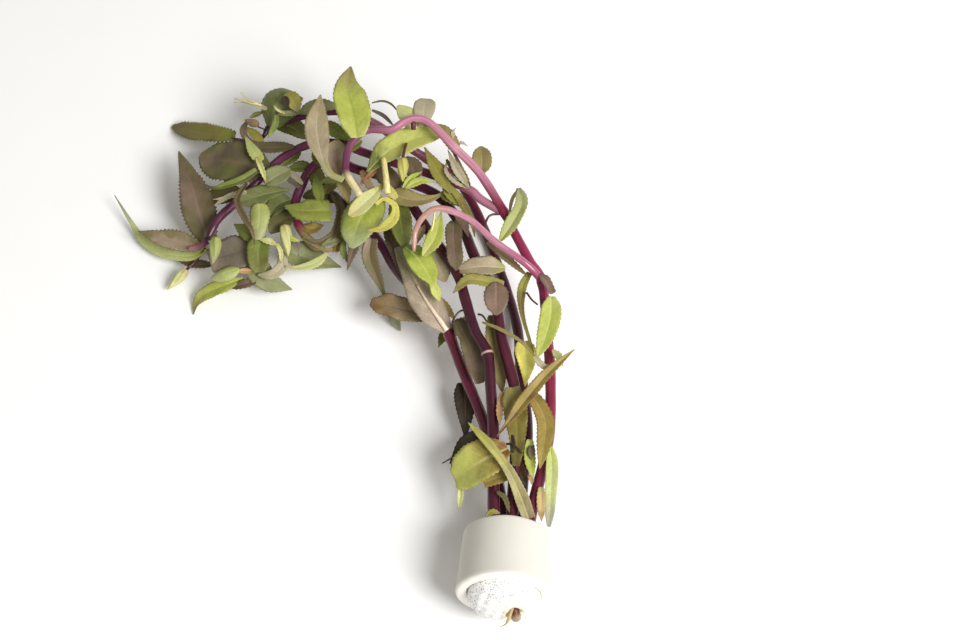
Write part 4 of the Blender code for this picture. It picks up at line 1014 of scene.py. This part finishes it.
blade("slip_5k", "tan_pale", 7.4, ((-26.5, 160.5, 33), (-26.2, 166, 33.2), (-25.6, 172.3, 32)),
      (0.35, 0.55, 0.75, 0.92, 1.0, 1.0, 0.9, 0.5), fold=5, teeth=0.08)
blade("slip_5m", "grey_rose", 0.9, ((-44, 174, 27), (-40.5, 175, 26.5), (-37.5, 174, 26),
       (-34.5, 170.5, 25.5)), STRAP, teeth=0.02)
blade("slip_5n", "grey_rose", 1.5, ((-44, 171, 27), (-40, 169, 26.5), (-36.3, 165, 26)), STRAP, teeth=0.02)
blade("slip_5o", "lime", 2.2, ((-33, 139.5, 28), (-30, 143, 29), (-26.5, 145, 29.5)))
blade("slip_5p", "lime", 3, ((-32, 139, 28.5), (-27.5, 141.5, 29), (-22.5, 141, 29)))
blade("slip_5q", "orange", 2, ((-40, 150.5, 28), (-43.5, 145.5, 27.5), (-48, 141, 26.5)), STRAP)
blade("slip_5r", "brown_rose", 7, ((-34, 141, 25), (-39, 146, 25), (-41, 152, 25)), ROUND)
blade("slip_5s", "brown_rose", 6, ((-30, 144, 25.5), (-29.5, 148, 26), (-32, 153, 26)), ROUND)
blade("slip_5t", "green_dark", 3.4, ((-47, 157.5, 29), (-50, 154.5, 29.5), (-52, 151.5, 29)))
blade("slip_5u", "mauve_brown", 3, ((12.5, 108, 26), (14.5, 104.5, 26.5), (16.5, 100.5, 26)), CUT,
      wave=0.25)
blade("slip_5v", "lime_pale", 2.6, ((16, 81.5, 23), (18, 79, 23), (19.5, 75.5, 23)))
blade("slip_5w", "khaki", 1.3, ((-6.5, 91, 24), (-1, 88, 25), (5.5, 83.5, 25.5), (10.5, 78, 25)), STRAP,
      teeth=0.08)
blade("slip_5x", "tan_pale", 2.2, ((10, 78.5, 25), (13, 74.5, 25), (16.5, 75, 24.5)), STRAP)
blade("slip_5y", "gold", 3, ((12, 35, 19), (12, 30.5, 18.5), (12, 24, 17.5)), STRAP)
blade("slip_5z", "lime", 3.6, ((8.5, 51, 20), (8.5, 44.5, 19.5), (9.5, 38, 19)), STRAP)
blade("slip_5aa", "khaki", 4.4, ((-55, 146, 26), (-52.5, 141, 25.5), (-51, 135, 25)))
blade("slip_5ab", "tan_brown", 2.6, ((-47, 147, 27), (-44.5, 141.5, 27), (-41.5, 137, 26.5)), STRAP)

# Leaves of the long and the arching shoot
# The left tip carries purple-brown pairs and a long green strap that hangs close over the sheet.
# The arching shoot has one lime leaf left, on a short bare stalk, and a few scraps under it.
blade("leaf_6a", "umber", 17, ((-79, 154, 17.5), (-91, 156, 17.5), (-103.5, 161.5, 13)), ROUND, fold=6,
      teeth=0.6)
blade("leaf_6b", "brown_rose", 11.5, ((-99.5, 131, 7.5), (-102.3, 139.5, 10), (-105.8, 150.5, 13),
       (-111, 164, 12)), (0.5, 0.85, 1.0, 0.95, 0.75, 0.5, 0.28, 0.04), fold=8, teeth=0.5)
blade("leaf_6c", "rose_tan", 7.5, ((-101, 127, 10.5), (-109, 129.5, 9.5), (-116, 132, 8.5),
       (-123.5, 135, 7)), fold=10, teeth=0.5)
blade("leaf_6d", "lime_to_grey", 3.8, ((-99.5, 127, 8.3), (-105.5, 126, 5.6), (-114.5, 128.5, 3.5),
       (-122, 133.8, 2.5), (-127, 141, 3.5), (-133, 150.5, 5)),
      (0.5, 0.9, 1.0, 0.95, 0.8, 0.45, 0.25, 0.06), fold=5, teeth=0.1)
blade("leaf_6e", "grey_rose", 13, ((-83, 125.5, 12.5), (-90, 123.5, 12), (-98, 121, 11)), CUT, fold=5)
blade("leaf_6f", "green_hood", 7.4, ((-71.5, 145.5, 17), (-80, 144, 16.5), (-88.5, 141.5, 15.5)),
      (0.12, 0.3, 0.55, 0.8, 1.0, 1.0, 0.9, 0.35))
blade("leaf_6g", "grey_green", 7.5, ((-80, 146.5, 19), (-76.5, 149, 19.5), (-71.5, 152.5, 19)), ROUND)
blade("leaf_6h", "lime_tan", 5.6, ((-87, 116.5, 7.5), (-92.5, 114.5, 6), (-98.5, 113, 4),
       (-102.5, 110.5, 2), (-103.8, 106.5, 0.4)), (0.2, 0.55, 0.85, 1.0, 0.95, 0.72, 0.45, 0.04), wave=0.12)
blade("leaf_7a", "lime", 5.6, ((-26, 113.5, 27.5), (-22, 120, 29), (-20, 128.5, 31)))
blade("slip_6i", "brown", 7, ((-88, 149, 10), (-96, 147, 10), (-103, 146, 9)), ROUND)
blade("slip_6j", "green_dark", 3, ((-82.5, 150.5, 21), (-87.5, 147.5, 20), (-92.5, 146, 19),
       (-97, 145.5, 18), (-100, 147.3, 17), (-102.5, 149.5, 16)),
      (0.8, 0.95, 1.0, 0.9, 0.7, 0.35, 0.15, 0.05), fold=30, teeth=0.06)
blade("slip_6k", "tan_pale", 2.2, ((-86, 143.5, 19), (-92, 142.5, 17.5), (-97, 140, 16)), STRAP)
blade("slip_6l", "tan_pale", 1.2, ((-92, 142.5, 17.5), (-94.5, 142, 17), (-97.5, 142, 16.5)))
blade("slip_6m", "brown_rose", 3.4, ((-97, 123, 5), (-105, 124, 4), (-111, 126.5, 3)))
blade("slip_6n", "lime_grey", 5.4, ((-87.5, 116.5, 14), (-92, 115, 14), (-97, 113.5, 12.5)), ROUND,
      cup=-0.5, fold=4)
blade("slip_6o", "orange", 2.2, ((-83.5, 116, 13.2), (-88.5, 115.8, 13.6)), STRAP)
blade("slip_6p", "brown_rose", 3.4, ((-82.5, 115, 8), (-87, 114, 7.5), (-91, 113.5, 6)), STRAP)
blade("slip_6q", "green_dark", 6.4, ((-80.5, 127, 13), (-85.5, 131, 13), (-90.5, 135, 12)))
blade("slip_6r", "lime_grey", 7, ((-81.5, 139.5, 18), (-81.3, 134, 17.8), (-81.8, 126.8, 15.5)),
      (0.75, 0.95, 1.0, 0.95, 0.85, 0.72, 0.66, 0.5), cup=-0.4, fold=4, wave=0.12)
blade("slip_6s", "brown", 2.2, ((-86, 146, 20), (-88.5, 141, 20.5), (-88.5, 137.5, 20.5),
       (-86, 132.5, 19.5), (-83.5, 128.5, 18.5), (-82.5, 124, 17)), STRAP, fold=30)
blade("slip_6t", "green_hood", 3.2, ((-52.5, 143, 27), (-57, 144, 26), (-62, 143.5, 24)))
blade("slip_6u", "green_dark", 4, ((-60.5, 138, 20), (-62, 144.5, 20), (-63, 151, 20)))
blade("slip_6v", "green_dark", 2.4, ((-64, 157.5, 22), (-62.5, 154, 22), (-61, 151, 22)))
blade("slip_6w", "olive", 5.4, ((-64.5, 156.5, 15), (-62.5, 150.5, 15), (-61, 143.5, 14.5)), STRAP)
blade("slip_6x", "olive", 4, ((-61, 144, 16), (-57.5, 147.5, 16.5), (-53, 151, 16)))
blade("slip_6y", "brown_rose", 5, ((-62.5, 148, 15), (-59.5, 145, 15), (-55.5, 141.5, 14.5)), STRAP)
blade("slip_6z", "ochre", 5, ((-67, 134, 13), (-64, 132.5, 13), (-60, 134, 13)), wave=0.12)
blade("slip_6aa", "umber", 4.4, ((-67.5, 145, 13), (-63.5, 146, 13), (-58, 148, 13)), ROUND)
blade("slip_7b", "tan_brown", 2.2, ((-25.5, 126.5, 26), (-27, 123, 25), (-28, 120.5, 24)))
blade("slip_7c", "tan_brown", 2.6, ((-5, 120.5, 25), (2, 114, 24.5), (8.5, 108, 24)), STRAP)
blade("slip_7d", "olive_light", 2.6, ((-17.5, 140.5, 28), (-14, 135.5, 27), (-10, 127.5, 26),
       (-9, 122.5, 25)), STRAP)
blade("slip_7e", "mauve_brown", 3.6, ((-16, 132.5, 25.6), (-13, 128, 25.4), (-11, 122, 25.2)))

# Buds
# Closed teardrop buds of young leaves, furled round each other with pale edges. Each sits at the
# tip of a shoot or of a short stalk of its own.
BUD_SIDES = 24
BUD_ROWS = 20
BUD_POINT = 0.02
BUD_EDGES = 5
FURL_DEPTH = 0.10


def bud(name, finish, radius, base, tip):
    """A closed bud from its base to its tip, swollen low down, with five furled edges."""
    start = Vector(base)
    reach = Vector(tip) - start
    turn_to = Vector((0, 0, 1)).rotation_difference(reach.normalized()).to_matrix()
    points, marks = [], []
    for i in range(BUD_ROWS + 1):
        along = i / BUD_ROWS
        swell = math.sin(math.pi * (0.12 + 0.88 * along) ** 0.75) ** 0.8 if along < 1 else BUD_POINT
        for k in range(BUD_SIDES):
            angle = 2 * math.pi * k / BUD_SIDES
            furl = 1 + FURL_DEPTH * math.sin(BUD_EDGES * angle + BUD_EDGES * along)
            r = radius * max(BUD_POINT, swell) * furl
            height = along * reach.length
            points.append(start + turn_to @ Vector((r * math.cos(angle), r * math.sin(angle), height)))
            marks.append((math.sin(BUD_EDGES / 2 * angle + BUD_EDGES / 2 * along), along, 1.0))
    faces = tube_faces(BUD_ROWS, BUD_SIDES)
    piece_from(name, points, faces, LEAF_SKINS[finish], {"blade": marks})


bud("bud_1", "lime_grey", 1.9, (-95.5, 127, 16.5), (-96.5, 118, 14.5))
bud("bud_2", "lime_pale", 1.6, (-106.5, 121.5, 4.5), (-113, 115, 2))
bud("bud_3", "cream", 2.0, (-73, 132.5, 15), (-71.5, 121.5, 13.5))
bud("bud_5", "tan_brown", 1.35, (-83, 168.5, 22), (-88, 171, 21))
bud("bud_4", "lime_yellow", 1.8, (-33, 148, 33), (-33, 140.5, 30))

# Stalks and threads
# Short bare bud and leaf stalks, some broken off, the thick pale midrib of one leaf, and dead
# threadlike roots between the stems. They are the thinnest parts of the bunch.
BARE = stalk_material("bare stalk", ((0.0, paint(82, 44, 46)), (1.0, paint(70, 34, 36))))
CREAM = stalk_material("cream stalk", ((0.0, paint(206, 196, 140)), (1.0, paint(200, 186, 120))))
DEAD = stalk_material("dead thread", ((0.0, paint(52, 38, 32)), (1.0, paint(44, 32, 28))))
RIB = stalk_material("leaf rib", ((0.0, paint(226, 206, 186)), (1.0, paint(196, 180, 154))))
LILAC = stalk_material("mauve stalk", ((0.0, PLUM), (1.0, paint(140, 96, 96))))

stalk("stalk_bud_2", BARE, 0.5, 0.5, ((-100, 128, 8), (-103.5, 124.5, 5.5), (-106.5, 121.5, 4.5)))
stalk("stalk_leaf_6c", LILAC, 1.2, 0.8, ((-99.3, 128.8, 11.4), (-101.5, 127, 11),
      (-105.5, 126, 10.6)))
stalk("rib_leaf_1d", RIB, 0.8, 0.35, ((-18, 91.3, 17.9), (-20.8, 95, 19.2), (-24, 99.6, 20),
      (-28, 107, 20)))
stalk("stalk_leaf_4h", BARE, 0.6, 0.5, ((-81.5, 166, 14.5), (-86, 166.8, 14), (-93, 169, 12.2)))
stalk("stalk_bud_4", BARE, 0.5, 0.5, ((-33, 147.5, 33), (-32.5, 152, 32), (-32, 155, 31)))
stalk("stalk_cream", CREAM, 1.1, 0.9, ((-38, 137, 28.5), (-38.5, 142, 30), (-39.5, 149.5, 31)))
stalk("stalk_stub", BARE, 0.9, 0.8, ((-29.5, 160.5, 36), (-29.5, 158, 35)))
stalk("stalk_leaf_5e", LILAC, 0.5, 0.5, ((-7.4, 144.2, 29.8), (-7.4, 145.4, 27), (-7.2, 147.4, 24)))
stalk("stalk_leaf_7a", CREAM, 0.4, 0.35, ((-22, 129.5, 33), (-22.5, 125, 31), (-23.5, 121, 29)))
stalk("star_1", DEAD, 0.45, 0.3, ((3, 51, 22.8), (3.6, 48, 23.4), (3.2, 45, 23)))
stalk("star_2", DEAD, 0.4, 0.3, ((1.2, 48.5, 22), (3.4, 47.4, 23.4), (6, 45, 22.8)))
stalk("thread_1", DEAD, 0.35, 0.3, ((-16.5, 91, 20), (-16, 93, 22), (-14, 95.5, 23),
      (-11.5, 96.5, 22.5)))
stalk("thread_2", DEAD, 0.35, 0.3, ((-8, 94, 24), (-6.5, 93.5, 24), (-5, 91.5, 23.5)))
stalk("thread_3", DEAD, 0.3, 0.25, ((-85.5, 170, 20), (-82.5, 168.5, 20), (-80, 168, 19)))
stalk("thread_4", DEAD, 0.25, 0.2, ((-15.5, 51, 7), (-17.5, 50, 6.5), (-19.5, 49, 6)))
stalk("thread_5", DEAD, 0.25, 0.2, ((-15, 50.5, 7), (-16.2, 49.5, 6.5), (-16.5, 47, 6)))
stalk("thread_6", BARE, 0.4, 0.35, ((-0.5, 130, 27), (-4, 129.5, 27), (-5.5, 126, 26.5),
      (-4.5, 122, 26)))
stalk("thread_7", BARE, 0.35, 0.3, ((8, 102, 24), (9.5, 99.5, 24), (11.5, 97.5, 24)))
stalk("thread_8", CREAM, 0.25, 0.2, ((-82, 175, 24), (-87, 176.2, 24), (-91.5, 179, 22)))
stalk("thread_9", CREAM, 0.25, 0.2, ((-83, 175.5, 24), (-86.5, 176.8, 24), (-91.5, 177.5, 22)))
stalk("thread_10", CREAM, 0.2, 0.15, ((-85, 176, 23.5), (-87.5, 179, 22.5), (-89.5, 181.5, 22)))
